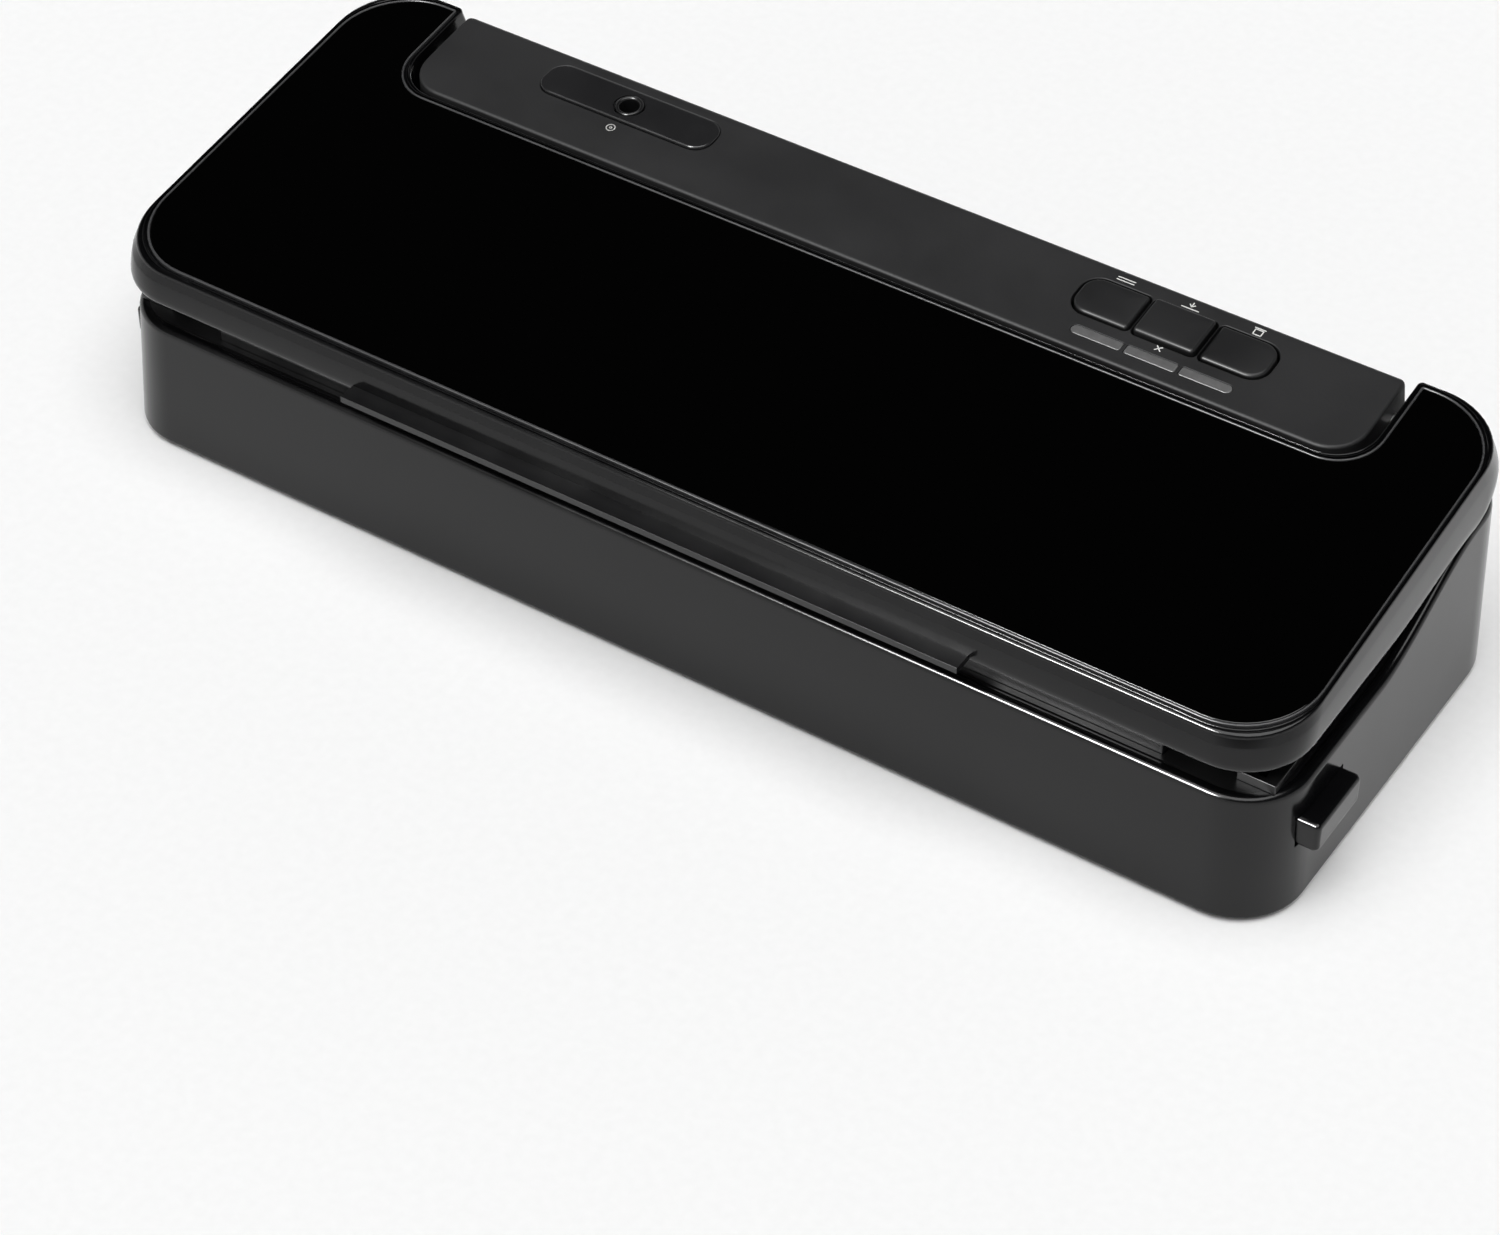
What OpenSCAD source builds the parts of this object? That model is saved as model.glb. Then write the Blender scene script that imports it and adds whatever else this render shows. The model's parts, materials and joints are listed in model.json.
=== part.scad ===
// Countertop vacuum sealer: a hinged lid with a glass panel over a sealing deck,
// a fixed control console behind it, and the pump and electronics inside the base.
// Origin: middle of the bounding box, on the table. +X right, +Y to the rear, +Z up.

/* [Base] */
// Width of the base housing
base_w = 379; // [330:1:456]
// Depth of the base housing, front to back
base_d = 138; // [114:1:166]
// Height of the sealing deck above the table
deck_h = 42.5; // [38:0.5:52]
// Radius of the upright corners of the base
corner_r = 20; // [12:1:28]
// Wall thickness of the base and the console
wall = 2.4; // [2:0.1:3]
// Thickness of the deck plate
deck_t = 2.4; // [2:0.1:3]
// Thickness of the bottom cover
cover_t = 2.2; // [1.8:0.1:3]
// Radius of a rubber foot
foot_r = 8; // [6:0.5:10]
// Height of a rubber foot below the housing
foot_h = 1.5; // [1:0.1:3]

/* [Lid] */
// Overhang of the lid past the base's front
lid_over = 0.2; // [0:0.1:2]
// How far the lid's sides stand in from the base's sides
lid_in = 2; // [0:0.1:3]
// Height of the slot for the bag, from the deck to the lid
mouth_gap = 10.9; // [9:0.1:14]
// Height of the lid's front band
lid_front_t = 10.16; // [9:0.02:16]
// Slope of the lid's top, down to the front
tilt = 6.9; // [5:0.1:8]
// Thickness of the lid's outer rim
lid_rim = 4.9; // [4.6:0.1:6]
// Thickness of the lid's walls and plates
lid_wall = 2.4; // [2:0.1:2.6]
// Distance from the hinge axis to the lid's back, which is also the round end's radius
hinge_in = 11.5; // [10:0.5:13]
// Depth of the hinge axis below the lid's top
hinge_drop = 9.3; // [8:0.1:10]
// How far the rear ends of the lid and the console lean in at the top
rear_lean = 4; // [1:0.1:4]
// Radius of the hinge pins
pin_r = 2.5; // [2:0.1:3]
// How far the pull lip stands out of the lid's front
lip_out = 5.6; // [3:0.1:6]
// Width of the pull lip
lip_w = 197; // [120:1:240]
// Thickness of the pull lip
lip_t = 2; // [1.6:0.1:2.6]

/* [Glass] */
// Thickness of the glass panel
glass_t = 2.2; // [1.8:0.1:3]
// Radius of the glass panel's corners
glass_r = 22; // [14:1:28]
// Distance from the lid's side to the glass
glass_side = 2.7; // [2.6:0.1:5]
// Distance from the lid's front to the glass
glass_front = 5.5; // [5:0.1:8]
// Distance from the glass to the lid's back
glass_back = 5.9; // [5.6:0.1:9]
// Width of the frame round the glass
frame_w = 1.2; // [0.8:0.1:1.4]

/* [Console] */
// Width of the fixed console
console_w = 308; // [270:1:320]
// Depth of the console
console_d = 37.9; // [34:0.1:44]
// Radius of the console's front corners
console_r = 11; // [6:0.5:14]
// Gap between the console and the lid, at the front and at the sides
console_gap = [1.4, 2.6]; // [1:0.1:3]
// Distance of the accessory port to the left of the middle
port_x = 89.3; // [70:0.1:110]
// Width and depth of the port's pad
pad_size = [59, 13.4]; // [12:0.1:66]
// Bore radius of the accessory port
port_bore = 2.9; // [2:0.1:3.4]
// Distance of the button group to the right of the middle
group_x = 90.8; // [70:0.1:105]
// Width and depth of a button
button_size = [18.6, 13.8]; // [12:0.1:19]
// Distance from button to button
button_pitch = 20.4; // [19.8:0.1:22]
// Travel of a button
button_travel = 0.8; // [0.4:0.1:1.2]
// Width and depth of an indicator window
window_size = [15.6, 3.2]; // [2.6:0.1:16]
// Distance from window to window
window_pitch = 16.8; // [16.4:0.1:19]

/* [Sealing deck] */
// Distance from the base's front to the middle of the seal bar
seal_in = 12; // [11:0.5:14]
// Width, front to back, of the seal bar and of the pressure strip
seal_w = 9; // [7:0.5:10]
// Length of the seal bar
seal_len = 304; // [240:1:312]
// Height of the seal bar above the deck
seal_rise = 3.4; // [2:0.1:4]
// Width of the heating strip
strip_w = 3; // [2:0.5:5]
// Width, across the loop, of a gasket
gasket_w = 7; // [5:0.5:8]
// Length of the gasket loop, side to side
gasket_len = 330; // [250:1:334]
// Depth of the vacuum channel's trough
channel_depth = 13; // [8:0.5:20]

/* [Latch] */
// Length, height and stand-out of a release button
release_size = [23.5, 9.5, 4.3]; // [3:0.1:26]
// Travel of a release button
release_travel = 2.5; // [1.5:0.1:3]
// Distance from the base's front to the middle of a latch hook
latch_in = 19.6; // [18:0.1:24]
// Width, front to back, of a latch hook
hook_w = 7; // [5:0.5:8]

/* [Clearances] */
// Clearance round a plate that drops into a frame
seat_fit = 0.2; // [0.1:0.05:0.3]
// Radial clearance of a running pin
run_fit = 0.05; // [0.02:0.01:0.08]
// Clearance round a button
button_fit = 0.5; // [0.3:0.05:0.7]
// Clearance between parts that pass each other
pass_fit = 0.4; // [0.3:0.05:0.6]

/* [Hidden] */
$fn = 64;
far = 400;
eps = 0.01;

// Overall places, front to back
total_d = base_d + lid_over + lip_out;
back_y = total_d / 2;
lid_front = back_y - base_d - lid_over;
base_front = back_y - base_d;
base_half = base_w / 2;
lid_half = base_half - lid_in;
inner_half = base_half - wall;
console_half = console_w / 2;
console_front = back_y - console_d;
console_mid = (console_front + back_y) / 2;

// Heights
shell_z = foot_h;
floor_z = foot_h + cover_t;
deck_z = deck_h;
deck_under = deck_z - deck_t;
lid_low = deck_z + mouth_gap;
front_top = lid_low + lid_front_t;
function top_z(y) = front_top + (y - lid_front) * tan(tilt);
hinge_y = back_y - hinge_in;
hinge_z = top_z(hinge_y) - hinge_drop;
arm_low = hinge_z - hinge_in;
arm_gap = 0.7;
base_rear_z = arm_low - arm_gap;

// Side sweeps: the base's side rises and the lid's lower edge follows it
base_sweep = [base_front + 58, hinge_y - 10.5];
lid_sweep = [base_front + 64, hinge_y - 18.5];
sweep_steps = 14;
function ease(t) = t * t * (3 - 2 * t);
function sweep_pts(y, z) = [
    for (i = [0 : sweep_steps]) [
        y[0] + (y[1] - y[0]) * i / sweep_steps,
        z[0] + (z[1] - z[0]) * ease(i / sweep_steps)
    ]
];

// Glass panel in the plane of the lid's top
glass_half = lid_half - glass_side;
slope = cos(tilt);
plane_y = (lid_front + glass_front + back_y - glass_back) / 2;
glass_y = (base_d + lid_over - glass_front - glass_back) / 2 / slope;
function on_slope(y) = (y - plane_y) / slope;
notch_half = console_half + console_gap[1];
notch_front = console_front - console_gap[0];
notch_r = console_r + console_gap[1];
rim_notch = 2.5;
frame_notch = 1.2;
panel_seat = glass_t + lid_wall;
cavity_back = hinge_y - 8;

// Console furniture, measured in the sloping plane
console_mid_s = on_slope(console_mid);
port_s = console_mid_s + 3;
buttons_s = console_mid_s + 0.7;
windows_s = buttons_s - 13.2;
board_depth = 14;
board_t = 1.6;
board_size = [74, 27];
stem_r = port_bore + 1.3;
stem_len = 13;
hose_wall = 1.6;
button_x = [group_x - button_pitch, group_x, group_x + button_pitch];
button_rise = [0.7, 1.5, 0.7];

// Sealing deck
seal_y = base_front + seal_in;
seal_top = deck_z + seal_rise;
strip_t = 0.2;
tape_t = 0.2;
bar_drop = 6;
groove = 1.2;
gasket_y = [seal_y + seal_w / 2 + 4, console_front - 12];
gasket_half = gasket_len / 2;
gasket_top = deck_z + mouth_gap / 2 - 0.2;
channel_y = [gasket_y[0] + gasket_w + 2.6, gasket_y[1] - gasket_w - 2.6];
channel_half = gasket_half - gasket_w - 9;
channel_wall = 1.8;
channel_flange = 2;
liner_t = 2.2;
seat_groove = 1.2;

// Latch: a hook on the lid drops through a slot in the deck and through the catch
latch_y = base_front + latch_in;
hook_t = 3;
hook_x = base_half - 14;
hook_low = deck_under - 6.4;
nose = 1.5;
catch_t = 3;
catch_z = deck_under - 0.6 - catch_t;
swing = 4.2;
slot_x = [hook_x - nose - pass_fit, hook_x + hook_t + pass_fit];
slot_y = [latch_y - hook_w / 2 - swing, latch_y + hook_w / 2 + pass_fit];
guide_rise = 3;
guide_rim = 1.9;
release_y = base_front + 15.5;
release_z = deck_z - 20;
spring_r = 2.2;
spring_wire = 0.4;
catch_in = hook_x - 9.5;
spring_len = 6;
spring_turns = 4;
spring_ring = 8;
spring_step = 12;
ledge = 2;
switch_x = -inner_half + 15;
switch_y = latch_y + 17;
pin_in = 7;
pin_out = 13;

// Pump group under the console
pump_x = -port_x;
pump_y = console_mid + 1.5;
motor_r = 13;
motor_len = 38;
motor_z = floor_z + 21.3;
head_size = [34, 25, 34];
head_x = pump_x + head_size[0] / 2;
crank_r = 8;
shaft_r = 1.5;
nipple_r = 3;
nipple_reach = 8;
nipple_z = motor_z + 9;
bracket_top = floor_z + 4.3;
hose_end = top_z(console_mid) - bracket_top - head_size[2] - 2;

// Cord gland: a grommet that slides up into a slot in the rear wall
gland_x = 125;
gland_z = shell_z + 8.6;
gland_flange = 7.5;
gland_neck = 5.5;
gland_bore = 3.4;
gland_sunk = 1.2;

// Fasteners
screw_r = 1.5;
screw_head = 2.8;
boss_r = 3.4;
front_post = seal_y + seal_w / 2 + boss_r + 0.6;
post_places = [
    [-100, front_post], [100, front_post], [-50, gasket_y[1] + 2], [50, gasket_y[1] + 2],
    [-inner_half + 11, gasket_y[1] + 2], [inner_half - 11, gasket_y[1] + 2]
];
foot_in = 24;
foot_places = [
    for (x = [-1, 1], y = [base_front + foot_in, back_y - foot_in]) [x * (base_half - foot_in - 4), y]
];
lid_posts = [
    for (x = [-1, 1], y = [seal_y + 31, gasket_y[1] - 3]) [x * (gasket_half + 10), y]
];

// ---- Shared shapes ----

// Rectangle with round corners, from y0 to y1 and half_w to each side
module outline(half_w, y0, y1, r) {
    translate([-half_w + r, y0]) square([2 * (half_w - r), y1 - y0]);
    translate([-half_w, y0 + r]) square([2 * half_w, y1 - y0 - 2 * r]);
    for (x = [-half_w + r, half_w - r], y = [y0 + r, y1 - r])
        translate([x, y]) circle(r);
}

// Rectangle with round front corners, running on past the back
module bay(half_w, y0, r) {
    translate([-half_w + r, y0]) square([2 * (half_w - r), far]);
    translate([-half_w, y0 + r]) square([2 * half_w, far]);
    for (x = [-half_w + r, half_w - r]) translate([x, y0 + r]) circle(r);
}

// Extrudes a side profile, drawn as [y, z], across the width
module across(w) {
    rotate([90, 0, 90]) linear_extrude(w, center = true) children();
}

// Puts children in the sloping plane of the lid's top
module on_top() {
    translate([0, plane_y, top_z(plane_y)]) rotate([tilt, 0, 0]) children();
}

// A plate with the base's outline, inset from it
module base_plate(inset, z0, z1) {
    translate([0, 0, z0]) linear_extrude(z1 - z0)
        outline(base_half - inset, base_front + inset, back_y - inset, corner_r - inset);
}

// A ring with a racetrack outline
module loop(half_w, y, w, z0, z1) {
    r = w + 5;
    translate([0, 0, z0]) linear_extrude(z1 - z0) difference() {
        outline(half_w, y[0], y[1], r);
        outline(half_w - w, y[0] + w, y[1] - w, r - w);
    }
}

module block(x0, x1, y0, y1, z0, z1) {
    translate([x0, y0, z0]) cube([x1 - x0, y1 - y0, z1 - z0]);
}

module post(p, r, z0, z1) {
    translate([p[0], p[1], z0]) cylinder(r = r, h = z1 - z0);
}

// A round bar along X from x0 to x1
module bar_x(r, x0, x1, y, z) {
    translate([x0, y, z]) rotate([0, 90, 0]) cylinder(r = r, h = x1 - x0);
}

// A round bar along Y from y0 to y1
module bar_y(r, x, y0, y1, z) {
    translate([x, y0, z]) rotate([-90, 0, 0]) cylinder(r = r, h = y1 - y0);
}

module both_sides() {
    children();
    mirror([1, 0, 0]) children();
}

// ---- Base ----

// Everything below the base's top edge
module base_space() {
    across(2 * base_half + 2) polygon(concat(
        [[base_front - 1, 0], [base_front - 1, deck_z]],
        sweep_pts(base_sweep, [deck_z, base_rear_z]),
        [[back_y + 1, base_rear_z], [back_y + 1, 0]]
    ));
}

module release_hole() {
    block(inner_half - 8, base_half + 1,
        release_y - pass_fit, release_y + release_size[0] + pass_fit,
        release_z - pass_fit, release_z + release_size[1] + pass_fit);
}

module latch_slot(z0, z1) {
    block(slot_x[0], slot_x[1], slot_y[0], slot_y[1], z0, z1);
}

// Square block round the cord gland's axis, running down to z0
module gland_block(half, y0, y1, z0) {
    block(gland_x - half, gland_x + half, y0, y1, z0, gland_z + half);
}

module base_shell() {
    color([0.13, 0.13, 0.135]) difference() {
        union() {
            intersection() {
                difference() {
                    base_plate(0, shell_z, base_rear_z);
                    base_plate(wall, shell_z - 1, base_rear_z + 1);
                }
                base_space();
            }
            for (y = [base_front + wall - eps, back_y - wall - ledge + eps])
                block(-seal_len / 2, seal_len / 2, y, y + ledge, deck_under - ledge, deck_under);
        }
        both_sides() release_hole();
        gland_block(gland_neck + seat_fit, back_y - wall - 1, back_y + 1, shell_z - 1);
        gland_block(gland_flange + seat_fit, back_y - gland_sunk, back_y + 1, shell_z - 1);
    }
}

// Deck plate with its screw posts and the ribs that hold the release springs
module deck_panel() {
    color([0.12, 0.12, 0.125]) difference() {
        union() {
            base_plate(wall, deck_under, deck_z);
            for (p = post_places) post(p, boss_r, floor_z, deck_under + eps);
            both_sides() block(catch_in - spring_len - 2, catch_in - spring_len,
                latch_y - 5, latch_y + 5, catch_z - 3, deck_under + eps);
        }
        for (p = post_places) post(p, screw_r + run_fit, floor_z - 1, floor_z + 12);
        block(-channel_half - seat_fit, channel_half + seat_fit,
            channel_y[0] - seat_fit, channel_y[1] + seat_fit, deck_under - 1, deck_z + 1);
        block(-seal_len / 2 - seat_fit, seal_len / 2 + seat_fit,
            seal_y - seal_w / 2 - seat_fit, seal_y + seal_w / 2 + seat_fit, deck_under - 1, deck_z + 1);
        loop(gasket_half + seat_fit / 2, [gasket_y[0] - seat_fit / 2, gasket_y[1] + seat_fit / 2],
            gasket_w + seat_fit, deck_z - groove, deck_z + 1);
        block(-console_half + 8, console_half - 8, console_front + wall + 2, back_y - wall - 1.5,
            deck_under - 1, deck_z + 1);
        both_sides() latch_slot(deck_under - 1, deck_z + 1);
        post([switch_x, switch_y], 2, deck_under - 1, deck_z + 1);
    }
}

module bottom_cover() {
    color([0.1, 0.1, 0.1]) difference() {
        base_plate(wall + seat_fit, shell_z, floor_z);
        for (p = foot_places) post(p, 3 + run_fit, 0, floor_z + 1);
        for (p = post_places) post(p, screw_r + run_fit, 0, floor_z + 1);
    }
}

module feet() {
    color([0.07, 0.07, 0.07]) for (p = foot_places) {
        post(p, foot_r, 0, shell_z);
        post(p, 3, shell_z - eps, floor_z);
    }
}

module bottom_screws() {
    color("silver") for (p = post_places) {
        post(p, screw_head, shell_z - 1.2, shell_z);
        post(p, screw_r, shell_z - eps, floor_z + 11);
    }
}

module vacuum_channel() {
    color([0.16, 0.16, 0.165]) difference() {
        union() {
            block(-channel_half, channel_half, channel_y[0], channel_y[1],
                deck_z - channel_depth - channel_wall, deck_z + eps);
            block(-channel_half - channel_flange, channel_half + channel_flange,
                channel_y[0] - channel_flange, channel_y[1] + channel_flange, deck_z, deck_z + 1);
            bar_y(nipple_r, pump_x, channel_y[1] - eps, channel_y[1] + nipple_reach, nipple_z);
        }
        block(-channel_half + channel_wall, channel_half - channel_wall, channel_y[0] + channel_wall,
            channel_y[1] - channel_wall, deck_z - channel_depth, deck_z + 2);
        bar_y(nipple_r - 1, pump_x, channel_y[1] - channel_wall - 1,
            channel_y[1] + nipple_reach + 1, nipple_z);
    }
}

module lower_gasket() {
    color([0.2, 0.2, 0.2])
        loop(gasket_half, gasket_y, gasket_w, deck_z - groove, gasket_top);
}

module seal_bar() {
    color([0.12, 0.12, 0.12]) block(-seal_len / 2, seal_len / 2, seal_y - seal_w / 2, seal_y + seal_w / 2,
        deck_under - bar_drop, seal_top);
}

module heating_strip() {
    color([0.6, 0.58, 0.55]) block(-seal_len / 2 + 2, seal_len / 2 - 2,
        seal_y - strip_w / 2, seal_y + strip_w / 2, seal_top, seal_top + strip_t);
}

module ptfe_tape() {
    color([0.45, 0.35, 0.25]) block(-seal_len / 2 + 1, seal_len / 2 - 1, seal_y - seal_w / 2 + 1,
        seal_y + seal_w / 2 - 1, seal_top + strip_t, seal_top + strip_t + tape_t);
}

module heater_terminals() {
    color([0.8, 0.65, 0.3]) both_sides() {
        block(seal_len / 2 + 0.6, seal_len / 2 + 1.4, seal_y - 3, seal_y + 3,
            deck_under - bar_drop - 6, deck_under - 1);
        block(seal_len / 2 - 8, seal_len / 2 + 0.6 + eps, seal_y - 3, seal_y + 3,
            deck_under - bar_drop - 0.8, deck_under - bar_drop);
    }
}

module latch_guides() {
    color([0.12, 0.12, 0.125]) both_sides() difference() {
        block(slot_x[0] - guide_rim, slot_x[1] + guide_rim + 2, slot_y[0] - guide_rim, slot_y[1] + guide_rim,
            deck_z, deck_z + guide_rise);
        latch_slot(deck_z - 1, deck_z + guide_rise + 1);
    }
}

module lid_switch() {
    color([0.15, 0.15, 0.16]) {
        block(switch_x - 4.5, switch_x + 4.5, switch_y - 6, switch_y + 6, deck_under - 14, deck_under);
        post([switch_x, switch_y], 1.5, deck_under - eps, deck_z + 3.4);
    }
}

// ---- Console ----

module console_plate(inset) {
    intersection() {
        bay(console_half - inset, console_front + inset, console_r - inset);
        translate([-far, console_front]) square([2 * far, console_d - inset]);
    }
}

// Space under the sloping top, down to z0, with the top lowered by drop
module under_top(w, z0, drop) {
    top_back = back_y - rear_lean - drop;
    across(w) polygon([
        [lid_front - 1, z0], [back_y - drop, z0], [back_y - drop, base_rear_z],
        [top_back, top_z(top_back) - drop], [lid_front - 1, top_z(lid_front - 1) - drop]
    ]);
}

module round_slot(w, d) {
    r = d / 2;
    translate([-w / 2 + r, -r]) square([w - d, d]);
    for (x = [-w / 2 + r, w / 2 - r]) translate([x, 0]) circle(r);
}

module pad_outline(grow) {
    w = pad_size[0] / 2 + grow;
    d = pad_size[1] / 2 + grow;
    outline(w, -d, d, 5.5 + grow);
}

// Outline of a button: round on the group's outer ends
module button_outline(i, grow) {
    w = button_size[0] / 2 + grow;
    d = button_size[1] / 2 + grow;
    round_end = 5.5 + grow;
    if (i == 1) {
        translate([-w, -d]) square([2 * w, 2 * d]);
    } else {
        side = i == 0 ? 1 : -1;
        intersection() {
            translate([side * (round_end + 1) / 2, 0]) outline(w + (round_end + 1) / 2, -d, d, round_end);
            translate([-w, -d]) square([2 * w, 2 * d]);
        }
    }
}

module console_housing() {
    color([0.19, 0.19, 0.19]) difference() {
        union() {
            difference() {
                intersection() {
                    linear_extrude(far) console_plate(0);
                    under_top(console_w + 2, deck_z, 0);
                }
                intersection() {
                    linear_extrude(far) console_plate(wall);
                    under_top(console_w + 2, deck_z - 1, wall);
                }
            }
            both_sides() bar_x(pin_r + 3, console_half - 10, console_half - eps, hinge_y, hinge_z);
            on_top() for (x = [group_x - 33, group_x + 33], s = [console_mid_s - 8, console_mid_s + 9])
                translate([x, s, -board_depth]) cylinder(r = 2.6, h = board_depth - wall / 2);
        }
        // the rear wall of the base closes the back below this seam
        block(-far, far, back_y - wall - seat_fit, back_y + 1, 0, base_rear_z);
        both_sides() bar_x(pin_r + run_fit, console_half - 8, console_half + 1, hinge_y, hinge_z);
        on_top() {
            translate([-port_x, port_s, -1]) linear_extrude(3) pad_outline(seat_fit / 2);
            translate([-port_x, port_s, -20]) cylinder(r = stem_r + run_fit, h = 40);
            for (i = [0 : 2]) {
                translate([button_x[i], buttons_s, -10]) linear_extrude(20) button_outline(i, button_fit);
                translate([group_x + (i - 1) * window_pitch, windows_s, -10]) linear_extrude(20)
                    round_slot(window_size[0] + seat_fit, window_size[1] + seat_fit);
            }
        }
    }
}

// Pad round the accessory port, level enough to stand proud at its front and fade at its rear
module port_pad() {
    color([0.18, 0.18, 0.18]) on_top() translate([-port_x, port_s, 0]) difference() {
        translate([0, 0, -1]) linear_extrude(3) pad_outline(0);
        translate([0, -pad_size[1] / 2, 1.1]) rotate([-4, 0, 0]) translate([-far / 2, -5, 0])
            cube([far, far, 10]);
        translate([0, 0, -2]) cylinder(r = stem_r + run_fit, h = 10);
    }
}

module port_bush() {
    color([0.11, 0.11, 0.11]) on_top() translate([-port_x, port_s, 0]) difference() {
        translate([0, 0, -stem_len]) cylinder(r = stem_r, h = stem_len + 0.9);
        translate([0, 0, -stem_len - 1]) cylinder(r = port_bore, h = stem_len + 3);
    }
}

module indicator_windows() {
    color([0.45, 0.45, 0.45]) on_top() for (i = [-1 : 1])
        translate([group_x + i * window_pitch, windows_s, -board_depth + 2]) linear_extrude(board_depth - 2.1)
            round_slot(window_size[0], window_size[1]);
}

module control_board() {
    color([0.1, 0.35, 0.2]) on_top()
        translate([group_x - board_size[0] / 2, windows_s - 2.5, -board_depth - board_t])
            cube([board_size[0], board_size[1], board_t]);
}

module tact_switches() {
    color([0.25, 0.25, 0.27]) on_top() for (x = button_x) translate([x, buttons_s, -board_depth]) {
        translate([-3, -3, 0]) cube([6, 6, 3.5]);
        cylinder(r = 1.7, h = 4.5);
    }
}

module indicator_leds() {
    color([0.9, 0.95, 0.9]) on_top() for (i = [-1 : 1])
        translate([group_x + i * window_pitch - 1.5, windows_s - 1, -board_depth]) cube([3, 2, 1.2]);
}

// Cap, neck and switch pin of a console button; the pin stops short of the switch
module button(i) {
    color([0.16, 0.16, 0.16]) on_top() translate([button_x[i], buttons_s, 0]) {
        translate([0, 0, -wall - 1]) linear_extrude(wall + 1 + button_rise[i]) button_outline(i, 0);
        translate([0, 0, -wall - 1.8 - button_travel])
            linear_extrude(1.2) translate([-button_size[0] / 2 - 0.6, -button_size[1] / 2 - 0.9])
            square([button_size[0] + 1.2, button_size[1] + 1.8]);
        translate([0, 0, -wall - 2]) linear_extrude(2) button_outline(i, -1);
        translate([0, 0, -board_depth + 4.7 + button_travel])
            cylinder(r = 1.6, h = board_depth - 6.3 - wall);
    }
}

module button_seal() {
    button(0);
}

module button_vacuum() {
    button(1);
}

module button_canister() {
    button(2);
}

// ---- Pump group ----

module pump_motor() {
    x0 = head_x + 0.4;
    color([0.7, 0.7, 0.72]) difference() {
        union() {
            bar_x(motor_r, x0 + 2, x0 + motor_len, pump_y, motor_z);
            bar_x(4, x0, x0 + 2 + eps, pump_y, motor_z);
            bar_x(5, x0 + motor_len - eps, x0 + motor_len + 2, pump_y, motor_z);
        }
        bar_x(shaft_r + run_fit, x0 - 1, x0 + 12, pump_y, motor_z);
    }
}

module pump_head() {
    z0 = bracket_top;
    color([0.2, 0.2, 0.21]) difference() {
        union() {
            block(head_x - head_size[0], head_x, pump_y - head_size[1] / 2, pump_y + head_size[1] / 2,
                z0, z0 + head_size[2]);
            bar_y(nipple_r, pump_x, pump_y - head_size[1] / 2 - nipple_reach, pump_y, nipple_z);
            on_top() translate([-port_x, port_s, -hose_end - 6]) cylinder(r = stem_r, h = 13);
        }
        bar_x(crank_r, head_x - 18, head_x + 1, pump_y, motor_z);
        bar_y(nipple_r - 1, pump_x, pump_y - head_size[1] / 2 - nipple_reach - 1, pump_y - 9, nipple_z);
        on_top() translate([-port_x, port_s, -hose_end - 3]) cylinder(r = port_bore, h = 11);
    }
}

// The motor's shaft and the eccentric that works the diaphragm
module pump_eccentric() {
    color([0.75, 0.75, 0.77]) {
        bar_x(shaft_r, head_x - 13, head_x + 12, pump_y, motor_z);
        bar_x(4.5, head_x - 13, head_x - 6, pump_y + 1.2, motor_z);
    }
}

module pump_bracket() {
    x0 = head_x + 4;
    color([0.6, 0.6, 0.62]) difference() {
        union() {
            block(head_x - head_size[0], head_x + motor_len, pump_y - 12, pump_y + 12,
                floor_z + 2, bracket_top);
            block(x0, x0 + motor_len - 10, pump_y - 9, pump_y + 9, bracket_top - eps, motor_z - 7);
        }
        bar_x(motor_r + seat_fit, x0 - 1, x0 + motor_len, pump_y, motor_z);
    }
}

module pump_mounts() {
    color([0.08, 0.08, 0.08]) for (x = [head_x - head_size[0] + 5, head_x + motor_len - 5], y = [-7.5, 7.5])
        post([x, pump_y + y], 4, floor_z, floor_z + 2);
}

module port_hose() {
    color([0.8, 0.8, 0.78]) on_top() translate([-port_x, port_s, 0]) difference() {
        translate([0, 0, -hose_end]) cylinder(r = stem_r + run_fit + hose_wall, h = hose_end - stem_len + 5);
        translate([0, 0, -hose_end - 1]) cylinder(r = stem_r + run_fit, h = hose_end);
    }
}

module channel_hose() {
    y0 = channel_y[1] + 1;
    y1 = pump_y - head_size[1] / 2 - 1;
    color([0.8, 0.8, 0.78]) difference() {
        bar_y(nipple_r + run_fit + hose_wall, pump_x, y0, y1, nipple_z);
        bar_y(nipple_r + run_fit, pump_x, y0 - 1, y1 + 1, nipple_z);
    }
}

module pressure_switch() {
    p = [head_x + motor_len + 26, pump_y];
    color([0.82, 0.82, 0.8]) {
        post(p, 9, floor_z, floor_z + 9);
        post(p, 2, floor_z + 9 - eps, floor_z + 16);
        for (x = [p[0] - 5, p[0] + 5])
            block(x - 0.4, x + 0.4, p[1] - 2, p[1] + 2, floor_z + 9 - eps, floor_z + 15);
    }
}

module transformer() {
    x0 = 32;
    color([0.5, 0.5, 0.52]) {
        block(x0, x0 + 46, pump_y - 10, pump_y + 10, floor_z, floor_z + 34);
        block(x0 + 7, x0 + 39, pump_y - 13, pump_y + 13, floor_z + 7, floor_z + 27);
    }
}

module cord_gland() {
    y_out = back_y - gland_sunk;
    color([0.08, 0.08, 0.08]) difference() {
        union() {
            gland_block(gland_flange, y_out, back_y - 0.1, shell_z + 0.2);
            gland_block(gland_neck, back_y - wall - eps, y_out + eps, shell_z + 0.2);
            bar_y(gland_neck, gland_x, back_y - wall - 3, back_y - wall, gland_z);
        }
        bar_y(gland_bore, gland_x, back_y - wall - 4, back_y + 1, gland_z);
    }
}

module hinge_pins() {
    color("silver") both_sides() bar_x(pin_r, console_half - pin_in, notch_half + pin_out, hinge_y, hinge_z);
}

// ---- Lid ----

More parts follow.
